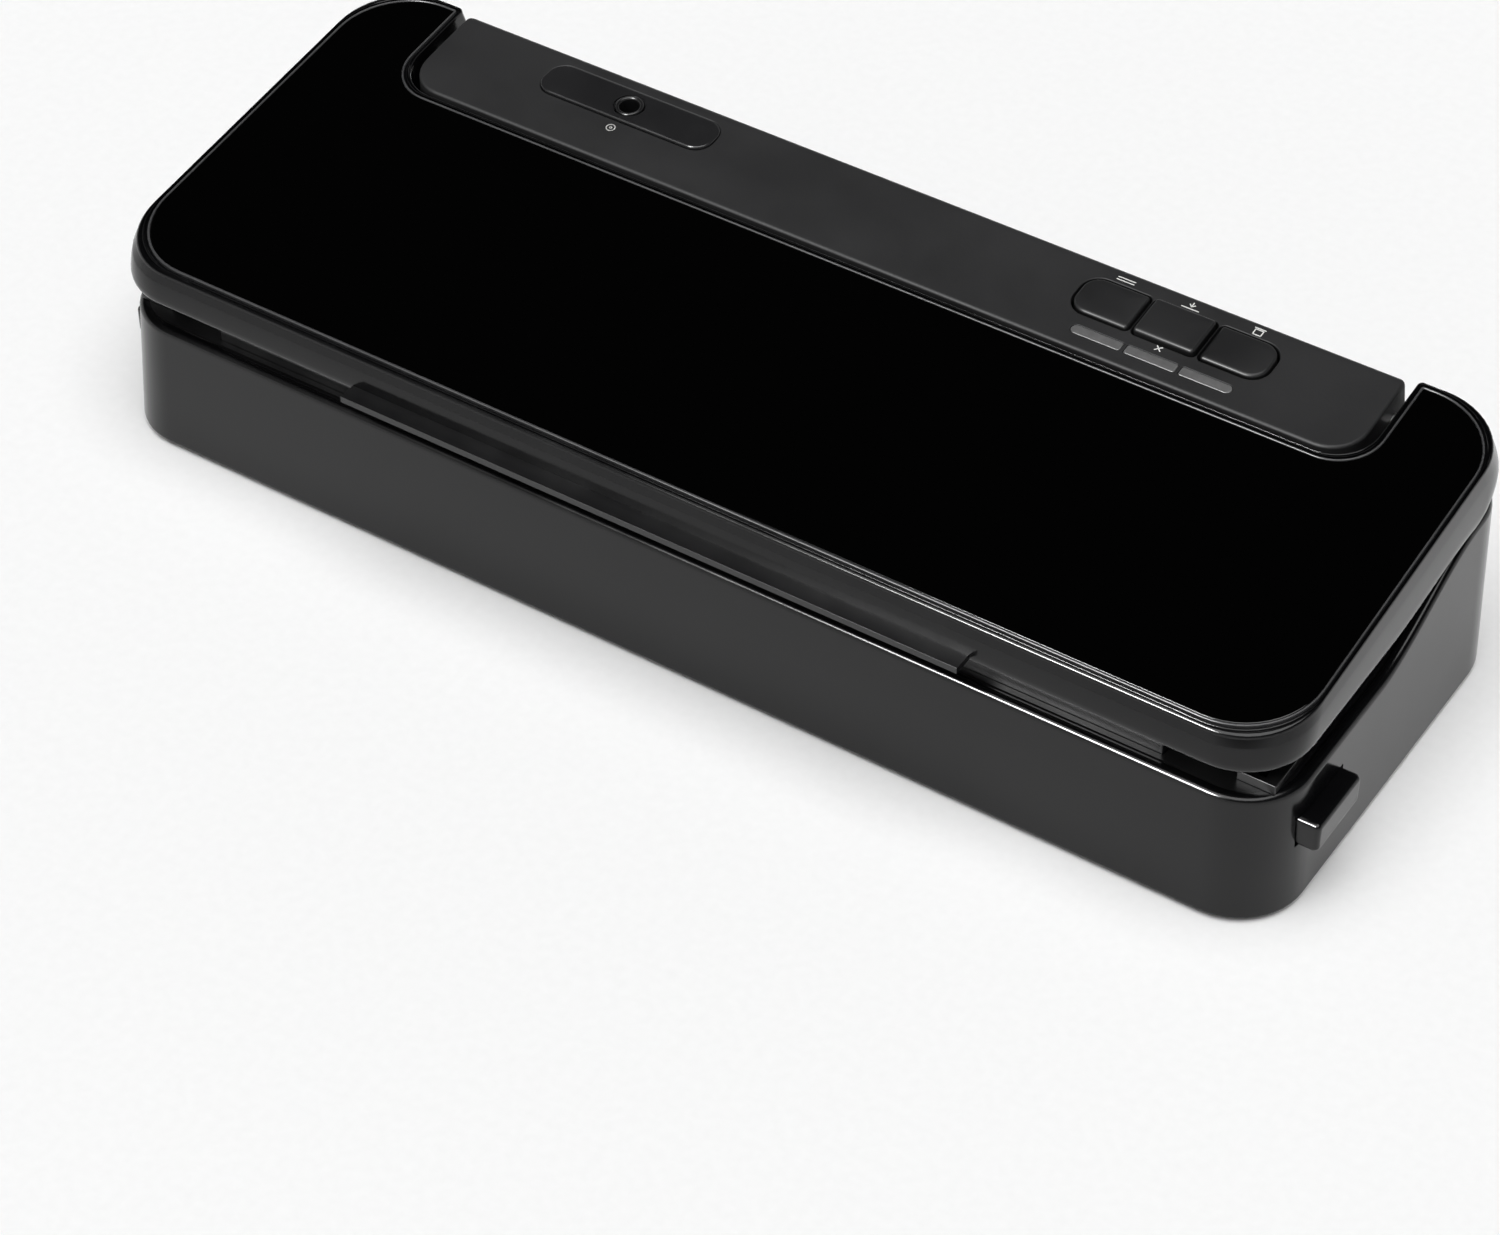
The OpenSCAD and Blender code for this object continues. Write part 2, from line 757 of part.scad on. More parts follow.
function arc_pts(a0, a1, n) = [
    for (i = [0 : n]) let (a = a0 + (a1 - a0) * i / n)
        [hinge_y + hinge_in * cos(a), hinge_z + hinge_in * sin(a)]
];

module lid_body() {
    intersection() {
        linear_extrude(far) outline(lid_half, lid_front, back_y, corner_r + lid_over);
        across(2 * lid_half + 2) polygon(concat(
            [[lid_front, lid_low]],
            sweep_pts(lid_sweep, [lid_low, arm_low]),
            arc_pts(-90, 0, 10),
            [[back_y - rear_lean, top_z(back_y - rear_lean)], [lid_front, front_top]]
        ));
    }
}

module lid_cavity(fit) {
    difference() {
        outline(lid_half - lid_rim - fit, lid_front + lid_rim + fit, cavity_back - fit, corner_r - 3);
        bay(notch_half + lid_wall + fit, notch_front - lid_wall - fit, notch_r);
    }
}

module panel_outline(grow, grow_notch) {
    difference() {
        outline(glass_half + grow, -glass_y - grow, glass_y + grow, glass_r + grow);
        bay(notch_half + rim_notch - grow_notch, on_slope(notch_front) - rim_notch + grow_notch,
            notch_r + rim_notch - grow_notch - 2);
    }
}

module lid_cover() {
    color([0.1, 0.1, 0.1]) difference() {
        union() {
            difference() {
                lid_body();
                linear_extrude(far) bay(notch_half, notch_front, notch_r);
                intersection() {
                    linear_extrude(far) lid_cavity(0);
                    under_top(2 * lid_half, 0, panel_seat);
                }
            }
            for (p = lid_posts) post(p, boss_r, lid_low + liner_t, top_z(p[1]) - panel_seat + 0.6);
        }
        on_top() translate([0, 0, -glass_t]) linear_extrude(glass_t + 5)
            panel_outline(frame_w + seat_fit / 2, frame_notch + seat_fit / 2);
        both_sides() bar_x(pin_r + run_fit, notch_half - 1, notch_half + pin_out + 1, hinge_y, hinge_z);
        block(-lip_w / 2 - seat_fit, lip_w / 2 + seat_fit, lid_front - 1, lid_front + lid_rim + 1,
            lid_low - 1, lid_low + lip_t + seat_fit / 2);
        for (p = lid_posts) post(p, screw_r + run_fit, lid_low, lid_low + 9);
    }
}

module glass_frame() {
    color([0.2, 0.2, 0.2]) on_top() translate([0, 0, -glass_t]) linear_extrude(glass_t) difference() {
        panel_outline(frame_w, frame_notch);
        panel_outline(seat_fit / 2, seat_fit / 2);
    }
}

module glass_panel() {
    color([0.01, 0.01, 0.01]) on_top() translate([0, 0, -glass_t]) linear_extrude(glass_t - 0.05)
        panel_outline(0, 0);
}

module lid_liner() {
    step_y = notch_front - lid_wall - seat_fit;
    arm_z = arm_low - 0.4;
    color([0.13, 0.13, 0.135]) difference() {
        union() {
            intersection() {
                translate([0, 0, lid_low]) linear_extrude(liner_t) lid_cavity(seat_fit);
                block(-far, far, -far, step_y, 0, far);
            }
            intersection() {
                translate([0, 0, arm_z]) linear_extrude(liner_t) lid_cavity(seat_fit);
                block(-far, far, step_y - 2, far, 0, far);
            }
            intersection() {
                translate([0, 0, lid_low]) linear_extrude(arm_z + liner_t - lid_low) lid_cavity(seat_fit);
                block(-far, far, step_y - 2, step_y, 0, far);
            }
            block(-lip_w / 2, lip_w / 2, lid_front - lip_out, lid_front + lid_rim + 1,
                lid_low, lid_low + lip_t);
            post([switch_x, switch_y], 2.5, deck_z + 3.8, lid_low + eps);
        }
        loop(gasket_half + seat_fit / 2, [gasket_y[0] - seat_fit / 2, gasket_y[1] + seat_fit / 2],
            gasket_w + seat_fit, lid_low - 1, lid_low + seat_groove);
        block(-seal_len / 2 - seat_fit, seal_len / 2 + seat_fit, seal_y - seal_w / 2 - seat_fit,
            seal_y + seal_w / 2 + seat_fit, lid_low - 1, lid_low + seat_groove);
        for (p = lid_posts) post(p, screw_r + run_fit, lid_low - 1, lid_low + liner_t + 1);
    }
}

module upper_gasket() {
    color([0.2, 0.2, 0.2])
        loop(gasket_half, gasket_y, gasket_w, gasket_top + 0.4, lid_low + seat_groove);
}

module pressure_strip() {
    color([0.25, 0.25, 0.26]) block(-seal_len / 2, seal_len / 2, seal_y - seal_w / 2, seal_y + seal_w / 2,
        seal_top + strip_t + tape_t + 0.6, lid_low + seat_groove);
}

module latch_hooks() {
    y0 = latch_y - hook_w / 2;
    y1 = latch_y + hook_w / 2;
    color([0.14, 0.14, 0.145]) both_sides() {
        block(hook_x - 4, hook_x + hook_t + 4, y0 - 2, y1 + 2, lid_low - 1.8, lid_low);
        block(hook_x, hook_x + hook_t, y0, y1, hook_low, lid_low - 1.8 + eps);
        block(hook_x - nose, hook_x + eps, y0, y1, hook_low, catch_z - pass_fit);
    }
}

module lid_screws() {
    color("silver") for (p = lid_posts) {
        post(p, screw_head, lid_low - 1.4, lid_low);
        post(p, screw_r, lid_low - eps, lid_low + 8);
    }
}

// ---- Latch releases ----

// Button bar, flange behind the wall, and the catch plate that the hook drops through
module release() {
    flange_x = inner_half - 0.8;
    flange_y = base_front + wall + 13.7;
    color([0.12, 0.12, 0.125]) difference() {
        union() {
            block(flange_x - eps, base_half + release_size[2], release_y, release_y + release_size[0],
                release_z, release_z + release_size[1]);
            block(flange_x - 2, flange_x, flange_y, release_y + release_size[0] + 2.4,
                release_z - 2.4, catch_z + catch_t);
            intersection() {
                block(catch_in, flange_x - 2 + eps, slot_y[0] - 2.6, slot_y[1] + 3.5,
                    catch_z, catch_z + catch_t);
                base_plate(wall + pass_fit, 0, far);
            }
        }
        block(slot_x[0], slot_x[1] + release_travel, slot_y[0] - 0.8, slot_y[1],
            catch_z - 1, catch_z + catch_t + 1);
    }
}

module release_right() {
    release();
}

module release_left() {
    mirror([1, 0, 0]) release();
}

// Compression spring between the catch plate and its rib, swept as a thin round wire
function coil_point(i, j) = let (
    a = 360 * i / spring_step,
    b = 360 * j / spring_ring,
    r = spring_r + spring_wire * cos(b)
) [
    catch_in - spring_len + spring_wire + (spring_len - 2 * spring_wire) * i / (spring_turns * spring_step)
        + spring_wire * sin(b),
    latch_y + r * cos(a),
    catch_z + 1 + r * sin(a)
];

module release_spring() {
    n = spring_turns * spring_step;
    points = [for (i = [0 : n], j = [0 : spring_ring - 1]) coil_point(i, j)];
    sides = [
        for (i = [0 : n - 1], j = [0 : spring_ring - 1]) let (
            k = (j + 1) % spring_ring,
            a = i * spring_ring + j,
            b = i * spring_ring + k
        ) [a, b, b + spring_ring, a + spring_ring]
    ];
    ends = [
        [for (j = [spring_ring - 1 : -1 : 0]) j],
        [for (j = [0 : spring_ring - 1]) n * spring_ring + j]
    ];
    color("silver") polyhedron(points, concat(sides, ends), convexity = 4);
}

module release_spring_right() {
    release_spring();
}

module release_spring_left() {
    mirror([1, 0, 0]) release_spring();
}

base_shell();
deck_panel();
bottom_cover();
feet();
bottom_screws();
vacuum_channel();
lower_gasket();
seal_bar();
heating_strip();
ptfe_tape();
heater_terminals();
latch_guides();
lid_switch();
console_housing();
port_pad();
port_bush();
indicator_windows();
control_board();
tact_switches();
indicator_leds();
pump_motor();
pump_head();
pump_eccentric();
pump_bracket();
pump_mounts();
port_hose();
channel_hose();
pressure_switch();
transformer();
cord_gland();
hinge_pins();
lid_cover();
glass_frame();
glass_panel();
lid_liner();
upper_gasket();
pressure_strip();
latch_hooks();
lid_screws();
button_seal();
button_vacuum();
button_canister();
release_left();
release_right();
release_spring_left();
release_spring_right();
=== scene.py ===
import json
import math

import bmesh
import bpy
from bpy.props import FloatProperty, FloatVectorProperty, PointerProperty
from mathutils import Matrix, Vector


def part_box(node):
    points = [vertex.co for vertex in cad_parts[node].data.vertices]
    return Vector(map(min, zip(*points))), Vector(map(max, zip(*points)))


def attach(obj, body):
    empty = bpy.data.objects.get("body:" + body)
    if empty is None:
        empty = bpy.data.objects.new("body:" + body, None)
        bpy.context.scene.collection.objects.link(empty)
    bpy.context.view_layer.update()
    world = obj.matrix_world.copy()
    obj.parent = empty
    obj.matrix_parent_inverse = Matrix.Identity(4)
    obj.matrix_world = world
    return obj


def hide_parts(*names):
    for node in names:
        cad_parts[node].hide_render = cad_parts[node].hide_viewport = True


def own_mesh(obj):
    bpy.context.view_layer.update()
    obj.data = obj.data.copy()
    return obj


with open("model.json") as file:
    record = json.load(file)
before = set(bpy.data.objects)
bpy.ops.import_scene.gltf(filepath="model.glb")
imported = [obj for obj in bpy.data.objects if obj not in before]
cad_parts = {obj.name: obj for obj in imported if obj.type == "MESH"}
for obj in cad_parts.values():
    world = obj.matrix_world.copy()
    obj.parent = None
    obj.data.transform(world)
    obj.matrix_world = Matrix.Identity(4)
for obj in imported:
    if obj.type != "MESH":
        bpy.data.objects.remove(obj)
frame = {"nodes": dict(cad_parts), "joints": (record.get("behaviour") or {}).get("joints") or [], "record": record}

bl_info = {
    "name": "Countertop Vacuum Sealer",
    "version": (1, 0, 0),
    "blender": (4, 5, 0),
    "location": "3D View > Sidebar > Sealer",
    "description": "Builds the housings, lid, controls and seals of a vacuum sealer over its packed frame",
    "category": "Object",
}

# ---- What the frame says ----


def mm(*values):
    """Millimetres as metres: one number, or a tuple of them."""
    scaled = tuple(v * 0.001 for v in values)
    return scaled[0] if len(scaled) == 1 else scaled


def linear(hex_colour):
    """An sRGB hex colour as linear RGB."""
    parts = [int(hex_colour[i : i + 2], 16) / 255 for i in (1, 3, 5)]
    return [p / 12.92 if p <= 0.04045 else ((p + 0.055) / 1.055) ** 2.4 for p in parts]


BASE_LO, BASE_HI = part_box("base_shell")
LID_LO, LID_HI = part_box("lid_cover")
CONSOLE_LO, CONSOLE_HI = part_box("console_housing")
DECK_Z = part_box("deck_panel")[1].z
MOUNTS = {m["name"]: m for m in frame["record"]["mounts"]}
PORT = Vector(MOUNTS["accessory_port"]["pos_m"])
UP = Vector(MOUNTS["accessory_port"]["axis"]).normalized()
SLOPE = -UP.y / UP.z
HINGE = Vector(next(j["pos_m"] for j in frame["joints"] if j["name"] == "lid_hinge"))
BACK = BASE_HI.y
ARM_R = BACK - HINGE.y
# Where the port's axis meets the sloping plane that the lid's rim and the console share
PORT_TOP = PORT + UP * mm(MOUNTS["accessory_port"]["dims"]["length_mm"] / 2 - 0.9)


def plane_z(y):
    """Height of the sloping plane."""
    return PORT_TOP.z + (y - PORT_TOP.y) * SLOPE


# How far the top edge of the rear leans in, and the drop of the leaning rear for each metre back
LEAN = (plane_z(BACK) - CONSOLE_HI.z) / SLOPE
FALL = (CONSOLE_HI.z - HINGE.z) / LEAN


def rear_in(z):
    """How far the rounded, leaning rear of the lid's arms stands in from the back at a height."""
    if z < HINGE.z:
        return ARM_R - math.sqrt(max(ARM_R**2 - (HINGE.z - z) ** 2, 0.0))
    return (z - HINGE.z) / FALL


def ease(t):
    t = min(max(t, 0.0), 1.0)
    return t * t * (3 - 2 * t)


def base_top(y):
    """Top edge of the base: level at the front, rising past the lid's arms to the rear."""
    start, end = BASE_LO.y + mm(58), HINGE.y - mm(10.5)
    return DECK_Z + (BASE_HI.z - DECK_Z) * ease((y - start) / (end - start))


def lid_low(y):
    """Lower edge of the lid: level at the front, then up to the underside of the arms."""
    start, end = BASE_LO.y + mm(64), HINGE.y - mm(18.5)
    return LID_LO.z + (HINGE.z - ARM_R - LID_LO.z) * ease((y - start) / (end - start))


# A point in the sloping plane, (across, up the slope, out of it) from a point on it, in the row frame
TILT = Matrix.Rotation(math.atan(SLOPE), 4, "X")


def slope_frame(x, y):
    """Matrix that places a flat drawing in the sloping plane, with its origin above (x, y)."""
    return Matrix.Translation((x, y, plane_z(y))) @ TILT


# ---- Outlines and lofts ----


def outline(corners, radii, insets=0.0, splits=1, arc=8):
    """Points round a right-angled, anticlockwise polygon with round corners.

    insets moves each edge in by its own amount, edge i running on from corner i.
    Outlines made from the same corners, splits and arc match point for point.
    """
    n = len(corners)
    insets = list(insets) if hasattr(insets, "__len__") else [insets] * n
    splits = list(splits) if hasattr(splits, "__len__") else [splits] * n
    ways, moved = [], []
    for (x0, y0), (x1, y1) in zip(corners, corners[1:] + corners[:1]):
        length = math.hypot(x1 - x0, y1 - y0)
        ways.append(Vector(((x1 - x0) / length, (y1 - y0) / length)))
    for i, corner in enumerate(corners):
        at = Vector(corner)
        for e in (i - 1, i):
            at += Vector((-ways[e].y, ways[e].x)) * insets[e]
        moved.append(at)
    arcs = []
    for i, at in enumerate(moved):
        a, b, r = ways[i - 1], ways[i], max(radii[i], mm(0.02))
        mid = at + (b - a) * r
        turns = [math.pi / 2 * k / arc for k in range(arc + 1)]
        arcs.append([mid + (a * math.sin(t) - b * math.cos(t)) * r for t in turns])
    points = []
    for i, bend in enumerate(arcs):
        after = arcs[(i + 1) % n][0]
        points += bend
        points += [bend[-1].lerp(after, k / splits[i]) for k in range(1, splits[i])]
    return [(p.x, p.y) for p in points]


def box_corners(half, y0, y1, x=0.0):
    return [(x - half, y0), (x + half, y0), (x + half, y1), (x - half, y1)]


def level(points, z):
    """A ring of points at the height z, a number or a function of x and y."""
    return [(x, y, z(x, y) if callable(z) else z) for x, y in points]


def lofted(rings, start_cap=False, end_cap=False, closed=False):
    """Vertices and faces through matching rings, facing out when they climb outside a solid."""
    n = len(rings[0])
    verts = [p for ring in rings for p in ring]
    faces = []
    pairs = [(k, k + 1) for k in range(len(rings) - 1)]
    if closed:
        pairs.append((len(rings) - 1, 0))
    for a, b in pairs:
        for i in range(n):
            j = (i + 1) % n
            faces.append((a * n + i, a * n + j, b * n + j, b * n + i))
    if start_cap:
        faces.append(tuple(range(n - 1, -1, -1)))
    if end_cap:
        last = (len(rings) - 1) * n
        faces.append(tuple(range(last, last + n)))
    return verts, faces


def turned(profile, steps=64):
    """Vertices and faces of a profile of (radius, height) turned about Z.

    A closed profile runs up its outside and down its inside.
    """
    rings = [
        [
            (r * math.cos(2 * math.pi * i / steps), r * math.sin(2 * math.pi * i / steps), h)
            for i in range(steps)
        ]
        for r, h in profile
    ]
    return lofted(rings, closed=True)


def hoop(radius, height, count=32):
    """A level circle of points about Z."""
    turns = [2 * math.pi * i / count for i in range(count)]
    return [(radius * math.cos(a), radius * math.sin(a), height) for a in turns]


def moved_by(matrix, shape):
    verts, faces = shape
    return [tuple(matrix @ Vector(v)) for v in verts], faces


def joined(*shapes):
    verts, faces = [], []
    for v, f in shapes:
        faces += [tuple(i + len(verts) for i in face) for face in f]
        verts += v
    return verts, faces


def block(lo, hi, soft=0.0):
    """A box between two corners with its upright and top edges rounded by soft."""
    (x0, y0, z0), (x1, y1, z1) = lo, hi
    corners = box_corners((x1 - x0) / 2, y0, y1, (x0 + x1) / 2)
    rings = []
    for t in range(5):
        a = math.pi / 2 * t / 4
        inset, up = soft * (1 - math.cos(a)), soft * (1 - math.sin(a))
        rings.append(level(outline(corners, [soft * math.cos(a) + mm(0.02)] * 4, inset), z1 - up))
    bottom = level(outline(corners, [soft + mm(0.02)] * 4), z0)
    return lofted([bottom] + rings, True, True)


# ---- Objects ----


def linked(name, mesh):
    obj = bpy.data.objects.new(name, mesh)
    bpy.context.scene.collection.objects.link(obj)
    return obj


def shaped(name, shape):
    mesh = bpy.data.meshes.new(name)
    mesh.from_pydata(shape[0], [], shape[1])
    mesh.validate()
    return linked(name, mesh)


def settled(obj):
    """Applies the modifiers, so that obj holds a plain mesh."""
    deps = bpy.context.evaluated_depsgraph_get()
    mesh = bpy.data.meshes.new_from_object(obj.evaluated_get(deps), depsgraph=deps)
    obj.modifiers.clear()
    obj.data = mesh
    return obj


def cut(obj, *shapes):
    """Takes closed shapes out of obj."""
    tool = shaped("cutter", joined(*shapes))
    cutter = obj.modifiers.new("cut", "BOOLEAN")
    cutter.operation, cutter.solver, cutter.object = "DIFFERENCE", "EXACT", tool
    cutter.use_self = True
    settled(obj)
    bpy.data.objects.remove(tool)
    if not obj.data.polygons:
        raise RuntimeError(f"cutting {obj.name} left nothing")
    return obj


def smoothed(obj, angle=38):
    """Smooth shading that keeps flat faces flat and edges above the angle sharp."""
    mesh = obj.data
    mesh.shade_smooth()
    mesh.set_sharp_from_angle(angle=math.radians(angle))
    weigh = obj.modifiers.new("flat faces", "WEIGHTED_NORMAL")
    weigh.keep_sharp = True
    return settled(obj)


def placed(obj, body, finish, slot, *nodes):
    """Gives a finished piece its material and body, and hides the frame nodes it stands for; slot is not used."""
    obj.data.materials.clear()
    obj.data.materials.append(bpy.data.materials[finish])
    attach(obj, body)
    if nodes:
        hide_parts(*nodes)
    return obj


def softened(name, node, width, segments=3):
    """A copy of a frame node with its flat faces merged and its edges rounded."""
    mesh = frame["nodes"][node].data.copy()
    obj = linked(name, mesh)
    custom = mesh.attributes.get("custom_normal")
    if custom:
        mesh.attributes.remove(custom)
    bm = bmesh.new()
    bm.from_mesh(mesh)
    bmesh.ops.remove_doubles(bm, verts=bm.verts, dist=mm(0.03))
    bmesh.ops.dissolve_limit(bm, angle_limit=math.radians(1), verts=bm.verts, edges=bm.edges)
    bm.to_mesh(mesh)
    bm.free()
    bevel = obj.modifiers.new("edges", "BEVEL")
    bevel.width, bevel.segments, bevel.limit_method = width, segments, "ANGLE"
    bevel.angle_limit = math.radians(35)
    bevel.use_clamp_overlap = True
    settled(obj)
    return smoothed(obj)


# ---- Node trees ----


def add_node(tree, kind, settings=None, links=None):
    """Adds one node, with its settings, by attribute or by input, and its links, by input."""
    node = tree.nodes.new(kind)
    for key, value in (settings or {}).items():
        if isinstance(key, str) and hasattr(node, key):
            setattr(node, key, value)
        else:
            node.inputs[key].default_value = value
    for key, (source, out) in (links or {}).items():
        tree.links.new(source.outputs[out], node.inputs[key])
    return node


def new_tree(name, sockets):
    """A geometry tree with named inputs and one geometry output."""
    tree = bpy.data.node_groups.new(name, "GeometryNodeTree")
    for label, kind, value in sockets:
        socket = tree.interface.new_socket(label, in_out="INPUT", socket_type=kind)
        if value is not None:
            socket.default_value = value
    tree.interface.new_socket("Geometry", in_out="OUTPUT", socket_type="NodeSocketGeometry")
    return tree, tree.nodes.new("NodeGroupInput")


def grown(name, tree, values, mesh=None):
    """Runs a geometry tree on a new object and keeps the result as a plain mesh."""
    obj = linked(name, mesh or bpy.data.meshes.new(name))
    run = obj.modifiers.new(tree.name, "NODES")
    run.node_group = tree
    for item in tree.interface.items_tree:
        if item.in_out == "INPUT" and item.name in values:
            run[item.identifier] = values[item.name]
    return settled(obj)


def bead_tree():
    """A bead with round edges that follows a rectangle with round corners."""
    tree, start = new_tree(
        "Bead on a loop",
        [
            ("Length", "NodeSocketFloat", 0.3),
            ("Depth", "NodeSocketFloat", 0.06),
            ("Corner", "NodeSocketFloat", 0.008),
            ("Bead width", "NodeSocketFloat", 0.007),
            ("Bead height", "NodeSocketFloat", 0.006),
            ("Bead edge", "NodeSocketFloat", 0.002),
            ("Place", "NodeSocketVector", None),
            ("Material", "NodeSocketMaterial", None),
        ],
    )
    loop = add_node(
        tree, "GeometryNodeCurvePrimitiveQuadrilateral", {"mode": "RECTANGLE"},
        {"Width": (start, "Length"), "Height": (start, "Depth")},
    )
    path = add_node(
        tree, "GeometryNodeFilletCurve", {"mode": "POLY", "Count": 12},
        {"Curve": (loop, 0), "Radius": (start, "Corner")},
    )
    raised = add_node(
        tree, "GeometryNodeTransform", links={"Geometry": (path, 0), "Translation": (start, "Place")}
    )
    upright = add_node(
        tree, "GeometryNodeSetCurveNormal", {"mode": "Z_UP"}, {"Curve": (raised, 0)}
    )
    section = add_node(
        tree, "GeometryNodeCurvePrimitiveQuadrilateral", {"mode": "RECTANGLE"},
        {"Width": (start, "Bead width"), "Height": (start, "Bead height")},
    )
    bead = add_node(
        tree, "GeometryNodeFilletCurve", {"mode": "POLY", "Count": 5},
        {"Curve": (section, 0), "Radius": (start, "Bead edge")},
    )
    swept = add_node(
        tree, "GeometryNodeCurveToMesh", links={"Curve": (upright, 0), "Profile Curve": (bead, 0)}
    )
    return closing(tree, swept, start)


def closing(tree, last, start):
    """Ends a geometry tree in smooth shading, realised instances and its material."""
    smooth = add_node(tree, "GeometryNodeSetShadeSmooth", links={"Geometry": (last, 0)})
    real = add_node(tree, "GeometryNodeRealizeInstances", links={"Geometry": (smooth, 0)})
    dressed = add_node(
        tree, "GeometryNodeSetMaterial", links={"Geometry": (real, 0), "Material": (start, "Material")}
    )
    add_node(tree, "NodeGroupOutput", links={0: (dressed, 0)})
    return tree


def coil_tree():
    """A coil spring of round wire along X."""
    tree, start = new_tree(
        "Coil spring",
        [
            ("Turns", "NodeSocketFloat", 4.0),
            ("Coil radius", "NodeSocketFloat", 0.002),
            ("Coil length", "NodeSocketFloat", 0.006),
            ("Wire radius", "NodeSocketFloat", 0.0004),
            ("Place", "NodeSocketVector", None),
            ("Material", "NodeSocketMaterial", None),
        ],
    )
    coil = add_node(
        tree, "GeometryNodeCurveSpiral", {"Resolution": 24},
        {
            "Rotations": (start, "Turns"), "Start Radius": (start, "Coil radius"),
            "End Radius": (start, "Coil radius"), "Height": (start, "Coil length"),
        },
    )
    lying = add_node(
        tree, "GeometryNodeTransform", {"Rotation": (0.0, math.pi / 2, 0.0)},
        {"Geometry": (coil, 0), "Translation": (start, "Place")},
    )
    wire = add_node(
        tree, "GeometryNodeCurvePrimitiveCircle", {"Resolution": 10},
        {"Radius": (start, "Wire radius")},
    )
    swept = add_node(
        tree, "GeometryNodeCurveToMesh", {"Fill Caps": True},
        {"Curve": (lying, 0), "Profile Curve": (wire, 0)},
    )
    return closing(tree, swept, start)


def repeat_tree():
    """One piece on each point, each turned about Z by its own amount."""
    tree, start = new_tree(
        "Piece on each point",
        [
            ("Points", "NodeSocketGeometry", None),
            ("Piece", "NodeSocketObject", None),
            ("Most turn", "NodeSocketFloat", 0.0),
            ("Seed", "NodeSocketInt", 7),
            ("Material", "NodeSocketMaterial", None),
        ],
    )
    chosen = add_node(tree, "GeometryNodeObjectInfo", links={"Object": (start, "Piece")})
    turn = add_node(
        tree, "FunctionNodeRandomValue", {"data_type": "FLOAT"},
        {3: (start, "Most turn"), "Seed": (start, "Seed")},
    )
    spin = add_node(tree, "ShaderNodeCombineXYZ", links={"Z": (turn, 1)})
    each = add_node(
        tree, "GeometryNodeInstanceOnPoints",
        links={"Points": (start, "Points"), "Instance": (chosen, "Geometry"), "Rotation": (spin, 0)},
    )
    real = add_node(tree, "GeometryNodeRealizeInstances", links={"Geometry": (each, 0)})
    dressed = add_node(
        tree, "GeometryNodeSetMaterial", links={"Geometry": (real, 0), "Material": (start, "Material")}
    )
    add_node(tree, "NodeGroupOutput", links={0: (dressed, 0)})
    return tree


def repeated(name, shape, places, finish, most_turn=0.0):
    """Places a shape at each point through geometry nodes."""
    one = shaped(name + "_one", shape)
    one.data.shade_smooth()
    one.data.set_sharp_from_angle(angle=math.radians(38))
    points = bpy.data.meshes.new(name)
    points.from_pydata(places, [], [])
    obj = grown(
        name, repeat_tree(),
        {"Piece": one, "Most turn": most_turn, "Seed": 7, "Material": bpy.data.materials[finish]},
        points,
    )
    bpy.data.objects.remove(one)
    return obj


# ---- Materials ----


def new_material(name):
    mat = bpy.data.materials.new(name)
    mat.use_nodes = True
    tree = mat.node_tree
    tree.nodes.clear()
    return tree, add_node(tree, "ShaderNodeTexCoord")


def closed_material(tree, surface):
    add_node(tree, "ShaderNodeOutputMaterial", links={"Surface": (surface, 0)})


def mixed(tree, low, high, factor):
    """Colours low to high by a factor, which is a node's output."""
    return add_node(
        tree, "ShaderNodeMix", {"data_type": "RGBA", 6: (*linear(low), 1), 7: (*linear(high), 1)},
        {0: factor},
    )


def moulded(name, low, high, rough, swing, grain, depth, shader=None):
    """A moulded surface: a soft mottle between two tones and degrees of gloss, and a fine grain of a size and depth."""
    tree, place = new_material(name)
    mottle = add_node(
        tree, "ShaderNodeTexNoise", {"Scale": 1 / mm(24), "Detail": 3.0, "Roughness": 0.6},
        {"Vector": (place, "Object")},
    )
    fine = add_node(
        tree, "ShaderNodeTexNoise", {"Scale": 1 / grain, "Detail": 2.0, "Roughness": 0.55},
        {"Vector": (place, "Object")},
    )
    tone = mixed(tree, low, high, (mottle, 0))
    gloss = add_node(
        tree, "ShaderNodeMapRange", {
            "From Min": 0.3, "From Max": 0.7, "To Min": rough - swing, "To Max": rough + swing,
        },
        {"Value": (mottle, 0)},
    )
    relief = add_node(
        tree, "ShaderNodeBump", {"Strength": 0.6, "Distance": depth}, {"Height": (fine, 0)}
    )
    surface = add_node(
        tree, "ShaderNodeBsdfPrincipled", shader or {},
        {"Base Color": (tone, 2), "Roughness": (gloss, 0), "Normal": (relief, 0)},
    )
    closed_material(tree, surface)


